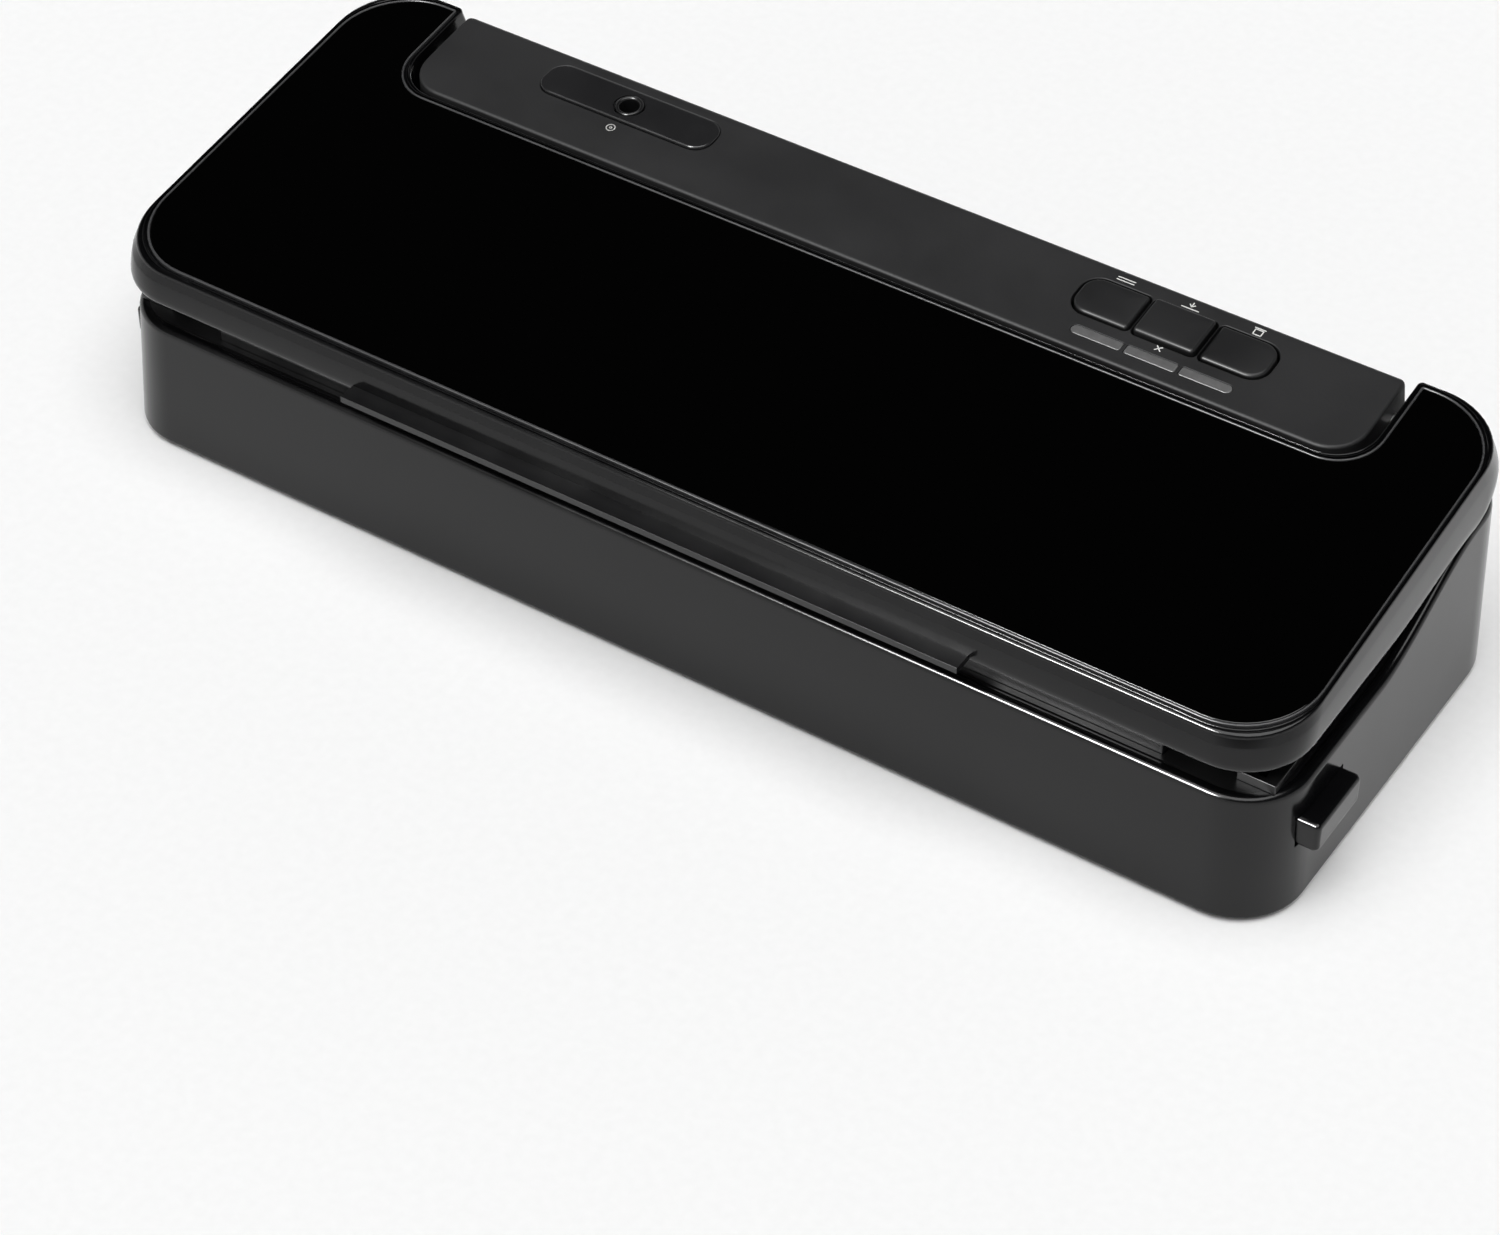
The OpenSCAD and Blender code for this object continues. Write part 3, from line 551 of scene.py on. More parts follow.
def make_materials(colours):
    # High-gloss black ABS, moulded against a polished tool: deep black, with faint waviness in its reflections
    moulded(
        "ABS gloss moulded black", "#060607", "#0b0b0c", 0.16, 0.03, mm(0.9), mm(0.005),
        {"IOR": 1.53, "Specular IOR Level": 0.31},
    )
    # Satin black ABS of the base, moulded against a lightly blasted tool: an even grey sheen with a fine grain
    moulded(
        "ABS satin moulded black", "#070708", "#0d0d0e", 0.18, 0.03, mm(0.5), mm(0.005),
        {"IOR": 1.53, "Specular IOR Level": 0.32},
    )
    # Textured black ABS of the console, from an etched tool: matte charcoal with a grain drawn coarse enough to show
    moulded(
        "ABS etched moulded charcoal", "#161617", "#202021", 0.55, 0.05, mm(0.75), mm(0.06),
        {"IOR": 1.5, "Specular IOR Level": 0.28},
    )
    # The same ABS on the port's island, polished along its raised front: a crisp bright edge
    moulded(
        "ABS satin island charcoal", "#1c1c1d", "#242425", 0.24, 0.04, mm(0.5), mm(0.012),
        {"IOR": 1.5, "Specular IOR Level": 0.6},
    )
    # The same ABS on the keys, with a finer etch and finger polish: a little darker and smoother
    moulded(
        "ABS etched key charcoal", "#121213", "#1a1a1b", 0.42, 0.06, mm(0.4), mm(0.015),
        {"IOR": 1.5, "Specular IOR Level": 0.35},
    )
    # Satin ABS bezel round the glass: charcoal, its tone lifted above the lid's black as a painted highlight along its
    # crown
    moulded(
        "ABS satin bezel charcoal", "#3c3c3d", "#49494a", 0.28, 0.04, mm(0.4), mm(0.006),
        {"IOR": 1.5, "Specular IOR Level": 0.5},
    )
    # Plain black ABS of hidden covers and the deck: smooth, dull where the tool was unpolished
    moulded("ABS plain moulded black", "#0a0a0b", "#111112", 0.33, 0.06, mm(0.7), mm(0.015), {"IOR": 1.53})
    # Acetal port bush, turned smooth by its mould: waxy black with a soft shine
    moulded("Acetal moulded black", "#121213", "#1a1a1b", 0.3, 0.05, mm(0.3), mm(0.006), {"IOR": 1.48})
    # Nitrile rubber of feet and gland: dead matt black that picks up dust
    moulded("Nitrile rubber moulded black", "#0d0d0d", "#1c1b1b", 0.75, 0.08, mm(0.35), mm(0.03), {"IOR": 1.5})
    # Closed-cell foam gaskets with a fine skin: soft dark grey, pitted
    moulded("EPDM foam skinned grey", "#1d1d1e", "#2c2c2d", 0.82, 0.08, mm(0.8), mm(0.12), {"IOR": 1.45})
    # Silicone pressure strip: dark grey with a low soft shine
    moulded("Silicone moulded grey", "#262627", "#323233", 0.5, 0.06, mm(0.4), mm(0.01), {"IOR": 1.41})
    # Glass-filled nylon of the pump head: grey-black, with a mottled skin
    moulded("Nylon glass-filled black", "#17171a", "#2a2a2e", 0.55, 0.1, mm(0.25), mm(0.03), {"IOR": 1.53})
    # Extruded silicone tube: milky and slightly see-through at its edges
    moulded(
        "Silicone extruded milky", "#c6c5bf", "#d9d8d2", 0.35, 0.05, mm(0.8), mm(0.01),
        {"IOR": 1.41, "Subsurface Weight": 0.3, "Subsurface Radius": mm(1, 1, 0.8)},
    )
    # Moulded thermoset switch bodies: pale grey with a dry surface
    moulded("Thermoset switch grey", "#8c8c88", "#a2a29d", 0.5, 0.05, mm(0.3), mm(0.01), {"IOR": 1.55})
    # Cast epoxy of the indicator lamps: pale green and water-clear, seen as a bright bead
    moulded("Epoxy cast pale green", "#cfe2cc", "#e0efdd", 0.12, 0.03, mm(0.6), mm(0.003), {"IOR": 1.55})
    # Pad-printed white ink on the console: thin, slightly broken cover
    moulded("Ink printed white", "#d6d6d4", "#efefec", 0.5, 0.06, mm(0.2), mm(0.006), {"IOR": 1.5})
    glass_black(colours)
    smoked_window(colours)
    drawn_metal("Steel zinc-plated", "#9a9a9c", "#c4c4c6", 0.32, mm(0.25, 0.25, 4))
    drawn_metal("Spring steel drawn wire", "#8d8c89", "#b6b5b1", 0.28, mm(3, 0.12, 0.12))
    drawn_metal("Resistance alloy rolled strip", "#a39f97", "#bdb9b0", 0.3, mm(9, 0.12, 0.12))
    drawn_metal("Motor can plated steel", "#8f9092", "#b8b9bb", 0.35, mm(0.3, 3, 3))
    drawn_metal("Brass pressed terminal", "#b08a3e", "#caa457", 0.3, mm(2, 0.2, 0.2))
    woven_tape()
    masked_board()
    swept_floor()


def glass_black(colours):
    # Tempered glass painted black behind: a mirror-flat deep black with the faintest haze of handling
    tree, place = new_material("Glass back-painted black")
    haze = add_node(
        tree, "ShaderNodeTexNoise", {"Scale": 1 / mm(35), "Detail": 4.0},
        {"Vector": (place, "Object")},
    )
    gloss = add_node(
        tree, "ShaderNodeMapRange", {"From Min": 0.35, "From Max": 0.8, "To Min": 0.035, "To Max": 0.045},
        {"Value": (haze, 0)},
    )
    surface = add_node(
        tree, "ShaderNodeBsdfPrincipled", {"Base Color": (*colours.glass, 1), "IOR": 1.5},
        {"Roughness": (gloss, 0)},
    )
    closed_material(tree, surface)


def smoked_window(colours):
    # Smoked polycarbonate lens over each lamp: grey, cloudy inside, with moulded light-spreading ribs across it
    tree, place = new_material("Polycarbonate smoked lens")
    cloud = add_node(
        tree, "ShaderNodeTexNoise", {"Scale": 1 / mm(2.2), "Detail": 3.0}, {"Vector": (place, "Object")}
    )
    dark = tuple(c * 0.55 for c in colours.window)
    tone = add_node(
        tree, "ShaderNodeMix", {"data_type": "RGBA", 6: (*dark, 1), 7: (*colours.window, 1)}, {0: (cloud, 0)}
    )
    ribs = add_node(
        tree, "ShaderNodeTexWave", {"Scale": 1 / mm(0.8) / 6.28, "bands_direction": "X"},
        {"Vector": (place, "Object")},
    )
    relief = add_node(
        tree, "ShaderNodeBump", {"Strength": 0.25, "Distance": mm(0.03)}, {"Height": (ribs, 0)}
    )
    surface = add_node(
        tree, "ShaderNodeBsdfPrincipled", {"Roughness": 0.3, "IOR": 1.58},
        {"Base Color": (tone, 2), "Normal": (relief, 0)},
    )
    closed_material(tree, surface)


def drawn_metal(name, low, high, rough, streak):
    # Metal worked along one direction: fine streaks of that length and width in its tone and gloss
    tree, place = new_material(name)
    along = add_node(
        tree, "ShaderNodeMapping", {"Scale": tuple(1 / s for s in streak)}, {"Vector": (place, "Object")}
    )
    lines = add_node(tree, "ShaderNodeTexNoise", {"Scale": 1.0, "Detail": 2.0}, {"Vector": (along, 0)})
    tone = mixed(tree, low, high, (lines, 0))
    gloss = add_node(
        tree, "ShaderNodeMapRange", {"To Min": rough - 0.08, "To Max": rough + 0.1}, {"Value": (lines, 0)}
    )
    relief = add_node(
        tree, "ShaderNodeBump", {"Strength": 0.3, "Distance": mm(0.01)}, {"Height": (lines, 0)}
    )
    surface = add_node(
        tree, "ShaderNodeBsdfPrincipled", {"Metallic": 1.0},
        {"Base Color": (tone, 2), "Roughness": (gloss, 0), "Normal": (relief, 0)},
    )
    closed_material(tree, surface)


def woven_tape():
    # Glass cloth coated with PTFE: tan, slick, with the plain weave showing through at 0.5 mm a thread
    tree, place = new_material("PTFE-coated glass cloth")
    threads = [
        add_node(
            tree, "ShaderNodeTexWave", {"Scale": 1 / mm(1.0), "bands_direction": way, "Distortion": 0.4},
            {"Vector": (place, "Object")},
        )
        for way in ("X", "Y")
    ]
    weave = add_node(
        tree, "ShaderNodeMath", {"operation": "MULTIPLY"}, {0: (threads[0], 1), 1: (threads[1], 1)}
    )
    tone = mixed(tree, "#6f5a40", "#8c7555", (weave, 0))
    relief = add_node(
        tree, "ShaderNodeBump", {"Strength": 0.5, "Distance": mm(0.04)}, {"Height": (weave, 0)}
    )
    surface = add_node(
        tree, "ShaderNodeBsdfPrincipled", {"Roughness": 0.38, "IOR": 1.38},
        {"Base Color": (tone, 2), "Normal": (relief, 0)},
    )
    closed_material(tree, surface)


def masked_board():
    # Glass-epoxy board under green solder mask: darker lines where copper tracks run beneath
    tree, place = new_material("Glass-epoxy board green mask")
    tracks = add_node(
        tree, "ShaderNodeTexBrick",
        {
            "Scale": 1 / mm(8), "Mortar Size": 0.04, "Color1": (*linear("#1e5a34"), 1),
            "Color2": (*linear("#216239"), 1), "Mortar": (*linear("#123d22"), 1),
        },
        {"Vector": (place, "Object")},
    )
    relief = add_node(
        tree, "ShaderNodeBump", {"Strength": 0.3, "Distance": mm(0.05)}, {"Height": (tracks, 1)}
    )
    surface = add_node(
        tree, "ShaderNodeBsdfPrincipled", {"Roughness": 0.3, "IOR": 1.54},
        {"Base Color": (tracks, 0), "Normal": (relief, 0)},
    )
    closed_material(tree, surface)


def swept_floor():
    # Matt white studio board: clean, with a barely visible tooth
    tree, place = new_material("Studio board matt white")
    tooth = add_node(
        tree, "ShaderNodeTexNoise", {"Scale": 1 / mm(3), "Detail": 3.0}, {"Vector": (place, "Object")}
    )
    tone = mixed(tree, "#f4f4f4", "#fafafa", (tooth, 0))
    surface = add_node(
        tree, "ShaderNodeBsdfPrincipled", {"Roughness": 0.9, "Specular IOR Level": 0.1},
        {"Base Color": (tone, 2)},
    )
    closed_material(tree, surface)


# ---- Settings ----


class SealerSizes(bpy.types.PropertyGroup):
    """Sizes of the visible edges and gaps"""

    draft: FloatProperty(
        name="Base draft", description="Lean of the base's walls, inwards going up", default=math.radians(2.7),
        min=0.0, max=0.1, subtype="ANGLE",
    )
    base_edge: FloatProperty(
        name="Base edge", description="Radius of the base's top edge", default=mm(1.9), min=mm(0.5), max=mm(3),
        unit="LENGTH",
    )
    base_rim: FloatProperty(
        name="Base rim", description="Width of the base's top rim round the deck", default=mm(3.4), min=mm(2.6),
        max=mm(4), unit="LENGTH",
    )
    console_edge: FloatProperty(
        name="Console edge", description="Radius of the console's front and side edges", default=mm(0.9),
        min=mm(0.3), max=mm(2), unit="LENGTH",
    )
    console_back: FloatProperty(
        name="Console back edge", description="Radius of the console's rear top edge", default=mm(2.6), min=mm(0.5),
        max=mm(4), unit="LENGTH",
    )
    key_edge: FloatProperty(
        name="Key edge", description="Radius of the keys' top edges", default=mm(1.0), min=mm(0.2), max=mm(1.5),
        unit="LENGTH",
    )


class SealerColours(bpy.types.PropertyGroup):
    """Colours that a maker would change"""

    glass: FloatVectorProperty(
        name="Glass", description="Paint behind the glass panel", default=linear("#020202"), size=3, min=0, max=1,
        subtype="COLOR",
    )
    window: FloatVectorProperty(
        name="Window", description="Smoked lens over each lamp", default=linear("#6e6e6e"), size=3, min=0, max=1,
        subtype="COLOR",
    )


class SealerStage(bpy.types.PropertyGroup):
    """Camera and lights"""

    azimuth: FloatProperty(
        name="Azimuth", description="Camera's turn round the object, from the front to its right",
        default=math.radians(33.14), subtype="ANGLE",
    )
    elevation: FloatProperty(
        name="Elevation", description="Camera's height above the horizon", default=math.radians(43.06),
        subtype="ANGLE",
    )
    distance: FloatProperty(
        name="Distance", description="Camera's distance from its target", default=1.151, min=0.3, unit="LENGTH",
    )
    target: FloatVectorProperty(
        name="Target", description="Point the camera looks at", default=mm(12.44, -36.5, 1.5), size=3,
        subtype="TRANSLATION", unit="LENGTH",
    )
    lens: FloatProperty(
        name="Lens", description="Focal length on a 36 mm sensor, in millimetres", default=99.6, min=20,
    )


def sizes():
    return bpy.context.scene.sealer_sizes


# ---- Base ----


def leaned(points):
    """Draws the base's walls in as they rise, from its rear edge forwards and from both sides."""
    lean = math.tan(sizes().draft)
    made = []
    for x, y, z in points:
        rise = (z - BASE_LO.z) * lean
        made.append((x * (1 - rise / BASE_HI.x), BACK - (BACK - y) * (1 - rise / (BACK - BASE_LO.y)), z))
    return made


BASE_CORNERS = box_corners(BASE_HI.x, BASE_LO.y, BASE_HI.y)
BASE_R = mm(20)


def base_ring(inset, z):
    """A ring of the base at an inset from its outline; z is a height or a drop below the top edge as a function."""
    radius = max(BASE_R - inset, mm(2))
    points = outline(BASE_CORNERS, [radius] * 4, inset, splits=[24, 56, 24, 56], arc=12)
    return leaned(level(points, z))


def base_housing():
    edge, rim = sizes().base_edge, sizes().base_rim
    foot, deep = BASE_LO.z, DECK_Z - mm(1.2)

    def below(drop):
        return lambda x, y: base_top(y) - drop

    rings = [base_ring(mm(1.5), foot), base_ring(mm(0.9), foot)]
    rings += [base_ring(mm(0.9) * (1 - math.sin(a)), foot + mm(0.9) * (1 - math.cos(a))) for a in (0.5, 1.0, 1.57)]
    for t in range(7):
        a = math.pi / 2 * t / 6
        rings.append(base_ring(edge * (1 - math.cos(a)), below(edge * (1 - math.sin(a)))))
    inner = mm(0.5)
    for t in range(4):
        a = math.pi / 2 * t / 3
        rings.append(base_ring(rim - inner + inner * math.sin(a), below(inner * (1 - math.cos(a)))))
    rings += [base_ring(rim, deep), base_ring(mm(1.5), deep - mm(1.6))]
    obj = shaped("base_housing", lofted(rings, closed=True))
    holes = []
    for side in ("left", "right"):
        x0, x1 = (
            BASE_LO.x - mm(1), BASE_LO.x + mm(8),
        ) if side == "left" else (BASE_HI.x - mm(8), BASE_HI.x + mm(1))
        lo, hi = release_bar(side)
        holes.append(block((x0, lo[1] - mm(0.4), lo[2] - mm(0.4)), (x1, hi[1] + mm(0.4), hi[2] + mm(0.4)), mm(0.5)))
    lo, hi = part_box("cord_gland")
    centre = (lo.x + hi.x) / 2
    holes.append(
        block(
            (centre - mm(5.7), BACK - mm(6), foot - mm(1)), (centre + mm(5.7), BACK + mm(1), hi.z - mm(2.0)),
            mm(0.3),
        )
    )
    holes.append(
        block(
            (centre - mm(7.7), BACK - mm(1.2), foot - mm(1)), (centre + mm(7.7), BACK + mm(1), hi.z + mm(0.2)),
            mm(0.3),
        )
    )
    cut(obj, *holes)
    return smoothed(obj)


def release_bar(side):
    """Corners of the part of a release that stands out of the base's side."""
    lo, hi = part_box("release_" + side)
    bar_y, bar_z = mm(23.5), mm(9.5)
    y0, z0 = BASE_LO.y + mm(15.5), DECK_Z - mm(20)
    # The left bar stands out far less than the right
    x0, x1 = (lo.x + mm(2.6), BASE_LO.x + mm(3)) if side == "left" else (BASE_HI.x - mm(3), hi.x)
    return (x0, y0, z0), (x1, y0 + bar_y, z0 + bar_z)


def deck_plate():
    """The deck, with its edge drawn in to the base's rim."""
    obj = linked("deck_plate_raw", frame["nodes"]["deck_panel"].data.copy())
    half, middle, depth = BASE_HI.x - BASE_R, (BASE_LO.y + BACK) / 2, (BACK - BASE_LO.y) / 2 - BASE_R
    draw = mm(0.25) + sizes().base_rim + (DECK_Z - BASE_LO.z) * math.tan(sizes().draft)
    for v in obj.data.vertices:
        out = Vector((max(abs(v.co.x) - half, 0), max(abs(v.co.y - middle) - depth, 0)))
        inset = BASE_R - out.length
        if out.length and inset < mm(2.7) and v.co.z > DECK_Z - mm(3):
            step = out.normalized() * (draw - inset)
            v.co.x -= math.copysign(step.x, v.co.x)
            v.co.y -= math.copysign(step.y, v.co.y - middle)
    bm = bmesh.new()
    bm.from_mesh(obj.data)
    bmesh.ops.remove_doubles(bm, verts=bm.verts, dist=mm(0.002))
    bmesh.ops.dissolve_limit(bm, angle_limit=math.radians(1), verts=bm.verts, edges=bm.edges)
    mesh = bpy.data.meshes.new("deck_plate")
    bm.to_mesh(mesh)
    bm.free()
    bpy.data.objects.remove(obj)
    return smoothed(linked("deck_plate", mesh))


def screw_shape(head, shaft, length, up):
    """A pan-head screw with a cross recess, its seat at the origin and its head towards up, which is 1 or -1."""
    profile = [
        (0.0001, 0.0), (head, 0.0), (head, 0.35), (head * 0.96, 0.7), (head * 0.8, 0.98), (head * 0.45, 1.15),
        (0.9, 1.18),
    ]
    star = []
    for i in range(32):
        a = 2 * math.pi * i / 32
        star.append(1.0 + 0.75 * (abs(math.cos(2 * a)) ** 3))
    rings = [hoop(r, h) for r, h in profile[1:-1]]
    for scale, h in ((1.0, 1.16), (0.9, 1.1), (0.45, 0.45), (0.1, 0.3)):
        rings.append(
            [
                (
                    star[i] * scale * math.cos(2 * math.pi * i / 32),
                    star[i] * scale * math.sin(2 * math.pi * i / 32), h,
                )
                for i in range(32)
            ]
        )
    stem = [hoop(shaft, h) for h in (-length, 0.0)]
    verts, faces = lofted(stem + rings, True, True)
    turn = Matrix.Identity(4) if up > 0 else Matrix.Rotation(math.pi, 4, "X")
    return [tuple(turn @ Vector(mm(*v))) for v in verts], faces


def centres(node):
    """Middle of each separate solid of a frame node, with its box."""
    bm = bmesh.new()
    bm.from_mesh(frame["nodes"][node].data)
    bmesh.ops.remove_doubles(bm, verts=bm.verts, dist=mm(0.002))
    left, found = set(bm.verts), []
    while left:
        stack, part = [left.pop()], []
        while stack:
            v = stack.pop()
            part.append(v.co.copy())
            for e in v.link_edges:
                o = e.other_vert(v)
                if o in left:
                    left.remove(o)
                    stack.append(o)
        lo = Vector(min(p[i] for p in part) for i in range(3))
        hi = Vector(max(p[i] for p in part) for i in range(3))
        found.append((lo, hi))
    bm.free()
    return found


def foot_shape():
    """A rubber foot: a low disc with a rolled edge and a shallow dish below."""
    r, h = 8.0, 1.5
    profile = [(0.05, 0.3), (5.2, 0.3), (5.9, 0.0), (7.4, 0.0), (7.8, 0.15), (8.0, 0.5), (8.0, 1.5), (0.05, 1.5)]
    rings = [hoop(mm(a), mm(z), 48) for a, z in profile]
    return lofted(rings, True, True)


class SEALER_OT_base(bpy.types.Operator):
    """Builds the base housing, deck plate, bottom cover, feet, screws and cord gland"""

    bl_idname = "sealer.base"
    bl_label = "Base"

    def execute(self, context):
        placed(base_housing(), "base", "ABS satin moulded black", "base_abs", "base_shell")
        placed(deck_plate(), "base", "ABS plain moulded black", "inner_abs", "deck_panel")
        cover = softened("bottom_plate", "bottom_cover", mm(0.5))
        placed(cover, "base", "ABS plain moulded black", "cover_abs", "bottom_cover")
        feet = [((lo.x + hi.x) / 2, (lo.y + hi.y) / 2, lo.z) for lo, hi in centres("feet")]
        pads = repeated("rubber_feet", foot_shape(), feet, "Nitrile rubber moulded black")
        placed(pads, "base", "Nitrile rubber moulded black", "foot_rubber", "feet")
        heads = [((lo.x + hi.x) / 2, (lo.y + hi.y) / 2, BASE_LO.z) for lo, hi in centres("bottom_screws")]
        screws = repeated("cover_screws", screw_shape(2.8, 1.5, 13, -1), heads, "Steel zinc-plated", math.pi)
        placed(screws, "base", "Steel zinc-plated", "screw_steel", "bottom_screws")
        gland = softened("cord_grommet", "cord_gland", mm(0.5))
        placed(gland, "base", "Nitrile rubber moulded black", "foot_rubber", "cord_gland")
        return {"FINISHED"}


# ---- Sealing deck ----


def gasket(name, node, finish):
    """A foam loop with round edges, along the loop of its frame node."""
    lo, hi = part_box(node)
    width = mm(7)
    return grown(
        name, bead_tree(),
        {
            "Length": hi.x - lo.x - width, "Depth": hi.y - lo.y - width, "Corner": mm(8.5),
            "Bead width": width - mm(0.05), "Bead height": hi.z - lo.z - mm(0.02), "Bead edge": mm(1.6),
            "Place": (0.0, (lo.y + hi.y) / 2, (lo.z + hi.z) / 2), "Material": bpy.data.materials[finish],
        },
    )


class SEALER_OT_deck(bpy.types.Operator):
    """Builds the seal bar, heating strip, tape, vacuum channel, lower gasket and latch guides"""

    bl_idname = "sealer.deck"
    bl_label = "Sealing deck"

    def execute(self, context):
        plain, tin = "ABS plain moulded black", "inner_abs"
        placed(softened("channel_tray", "vacuum_channel", mm(0.35)), "base", plain, tin, "vacuum_channel")
        placed(softened("seal_bar_body", "seal_bar", mm(0.4)), "base", plain, tin, "seal_bar")
        placed(softened("latch_guide_rims", "latch_guides", mm(0.3)), "base", plain, tin, "latch_guides")
        placed(
            softened("heater_ribbon", "heating_strip", mm(0.05), 1), "base", "Resistance alloy rolled strip",
            "strip_alloy", "heating_strip",
        )
        placed(
            softened("tape_cover", "ptfe_tape", mm(0.06), 1), "base", "PTFE-coated glass cloth", "ptfe",
            "ptfe_tape",
        )
        placed(
            gasket("deck_gasket", "lower_gasket", "EPDM foam skinned grey"), "base", "EPDM foam skinned grey",
            "foam", "lower_gasket",
        )
        return {"FINISHED"}


# ---- Console ----

KEYS = ("button_seal", "button_vacuum", "button_canister")


def sloped_y(y_slope):
    """Row-frame Y of a distance up the slope from the port's line."""
    return y_slope / math.hypot(1, SLOPE)


def console_ring(inset, z, front_r, rear_r):
    """A ring of the console; inset may differ for its front, right, rear and left."""
    corners = box_corners(CONSOLE_HI.x, CONSOLE_LO.y, BACK)
    return level(outline(corners, [front_r, front_r, rear_r, rear_r], inset, splits=[12, 44, 12, 44], arc=8), z)


def console_shell():
    side, back, wall = sizes().console_edge, sizes().console_back, mm(2.4)

    def foot(x, y):
        return BASE_HI.z + mm(0.25) if y > BACK - mm(2.7) else DECK_Z

    def edge(y):
        return side + (back - side) * ease((y - (BACK - LEAN - mm(7))) / mm(6))

    rings = [
        console_ring([wall, wall, wall + LEAN, wall], lambda x, y: plane_z(y) - wall, mm(8.6), mm(0.5)),
        console_ring(wall, foot, mm(8.6), mm(0.5)),
        console_ring(0.0, foot, mm(11), mm(2.2)),
    ]
    for t in range(7):
        a = math.pi / 2 * t / 6
        across, down = 1 - math.cos(a), 1 - math.sin(a)
        rings.append(
            console_ring(
                [side * across, side * across, LEAN + back * across, side * across],
                lambda x, y, down=down: plane_z(y) - edge(y) * down,
                mm(11) - side * across, mm(2.2) - mm(1.8) * across,
            )
        )
    return shaped("console_cover", lofted(rings, True, True))


def key_outline(i, grow):
    """Outline of a key in the slope, about its own middle, with the outer ends of the row rounder."""
    w, d = mm(18.6) / 2 + grow, mm(13.8) / 2 + grow
    small, large = mm(1.1) + grow, mm(5.2) + grow
    left, right = (large if i == 0 else small), (large if i == 2 else small)
    return outline(box_corners(w, -d, d), [left, right, right, left], arc=8)


def lens_outline(i, grow):
    """Outline of an indicator window, with the outer ends of the row round."""
    w, d = mm(15.6) / 2 + grow, mm(3.2) / 2 + grow
    small, large = mm(0.6) + grow, d * 0.96
    left, right = (large if i == 0 else small), (large if i == 2 else small)
    return outline(box_corners(w, -d, d), [left, right, right, left], arc=6)


def pad_outline(grow):
    return outline(
        box_corners(mm(59) / 2 + grow, -mm(13.4) / 2 - grow, mm(13.4) / 2 + grow), [mm(5.5) + grow] * 4, arc=8,
    )


def flared(drawn, depth, flare):
    """A cutter for a hole whose top edge is rounded by flare; drawn gives its outline for a growth."""
    rings = [level(drawn(0.0), -depth), level(drawn(0.0), -flare)]
    for t in range(1, 5):
        a = math.pi / 2 * t / 4
        rings.append(level(drawn(flare * (1 - math.cos(a))), -flare + flare * math.sin(a)))
    rings.append(level(drawn(flare), mm(4)))
    return lofted(rings, True, True)


def key_places():
    """Middle of each key and of each window on the slope, as (x, y)."""
    keys = []
    for node in KEYS:
        lo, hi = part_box(node)
        keys.append(((lo.x + hi.x) / 2, PORT_TOP.y + sloped_y(mm(-2.3))))
    lo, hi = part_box("indicator_windows")
    half = mm(15.6) / 2
    lens_y = PORT_TOP.y + sloped_y(mm(-2.3 - 13.2))
    return keys, [(x, lens_y) for x in (lo.x + half, (lo.x + hi.x) / 2, hi.x - half)]


def capped(drawn, low, high, edge, crown=0.0):
    """A cap from low up to high, a height or a function of the place, with a rounded top edge and a slight crown."""
    tall = high if callable(high) else (lambda x, y: high)
    rings = [level(drawn(0.0), low)]
    for t in range(6):
        a = math.pi / 2 * t / 5
        drop = edge * (1 - math.sin(a))
        rings.append(level(drawn(-edge * (1 - math.cos(a))), lambda x, y, drop=drop: tall(x, y) - drop))
    verts, faces = lofted(rings, True, False)
    last = len(rings[0]) * (len(rings) - 1)
    ring = rings[-1]
    for share in (0.8, 0.5, 0.2):
        now = [(x * share, y * share, tall(x * share, y * share) + crown * (1 - share * share)) for x, y, _ in ring]
        start = len(verts)
        verts += now
        n = len(now)
        for i in range(n):
            j = (i + 1) % n
            faces.append((last + i, last + j, start + j, start + i))
        last = start
    faces.append(tuple(range(last, last + len(ring))))
    return verts, faces


def stroke(x0, y0, x1, y1, width=0.34):
    """A printed stroke with round ends, in millimetres in the plane of the console."""
    way, far = math.atan2(y1 - y0, x1 - x0), width / 2
    ring = []
    for (x, y), start in (((x1, y1), -math.pi / 2), ((x0, y0), math.pi / 2)):
        for k in range(7):
            a = way + start + math.pi * k / 6
            ring.append((mm(x + far * math.cos(a)), mm(y + far * math.sin(a))))
    return lofted([level(ring, -mm(0.02)), level(ring, mm(0.03))], True, True)


def loop_of(points, width=0.34):
    return [stroke(*a, *b, width) for a, b in zip(points, points[1:] + points[:1])]


def round_points(radius, count=24):
    turns = [2 * math.pi * k / count for k in range(count)]
    return [(radius * math.cos(a), radius * math.sin(a)) for a in turns]


def console_marks(keys):
    """Plain marks by the controls: seal, vacuum and seal, canister, stop and port."""
    seal = [stroke(-2.6, 0.5, 2.6, 0.5), stroke(-2.6, -0.5, 2.6, -0.5)]
    vacuum = [
        stroke(-2.6, -1.1, 2.6, -1.1), stroke(0, 1.3, 0, -0.3), stroke(-0.8, 0.5, 0, -0.3),
        stroke(0.8, 0.5, 0, -0.3),
    ]
    canister = loop_of([(-1.2, -1.2), (1.2, -1.2), (1.2, 0.8), (-1.2, 0.8)]) + [stroke(-1.6, 1.3, 1.6, 1.3)]
    stop = [stroke(-0.8, -0.8, 0.8, 0.8), stroke(-0.8, 0.8, 0.8, -0.8)]
    port = loop_of(round_points(1.3)) + loop_of(round_points(0.35, 10))
    behind, ahead = sloped_y(mm(9.6)), sloped_y(mm(8.9))
    shapes = []
    for (x, y), drawn in zip(keys, (seal, vacuum, canister)):
        shapes += [moved_by(slope_frame(x, y + behind), part) for part in drawn]
    x, y = keys[1]
    shapes += [moved_by(slope_frame(x, y - ahead), part) for part in stop]
    shapes += [moved_by(slope_frame(PORT.x, PORT_TOP.y - sloped_y(mm(9.8))), part) for part in port]
    return shaped("printed_marks", joined(*shapes))


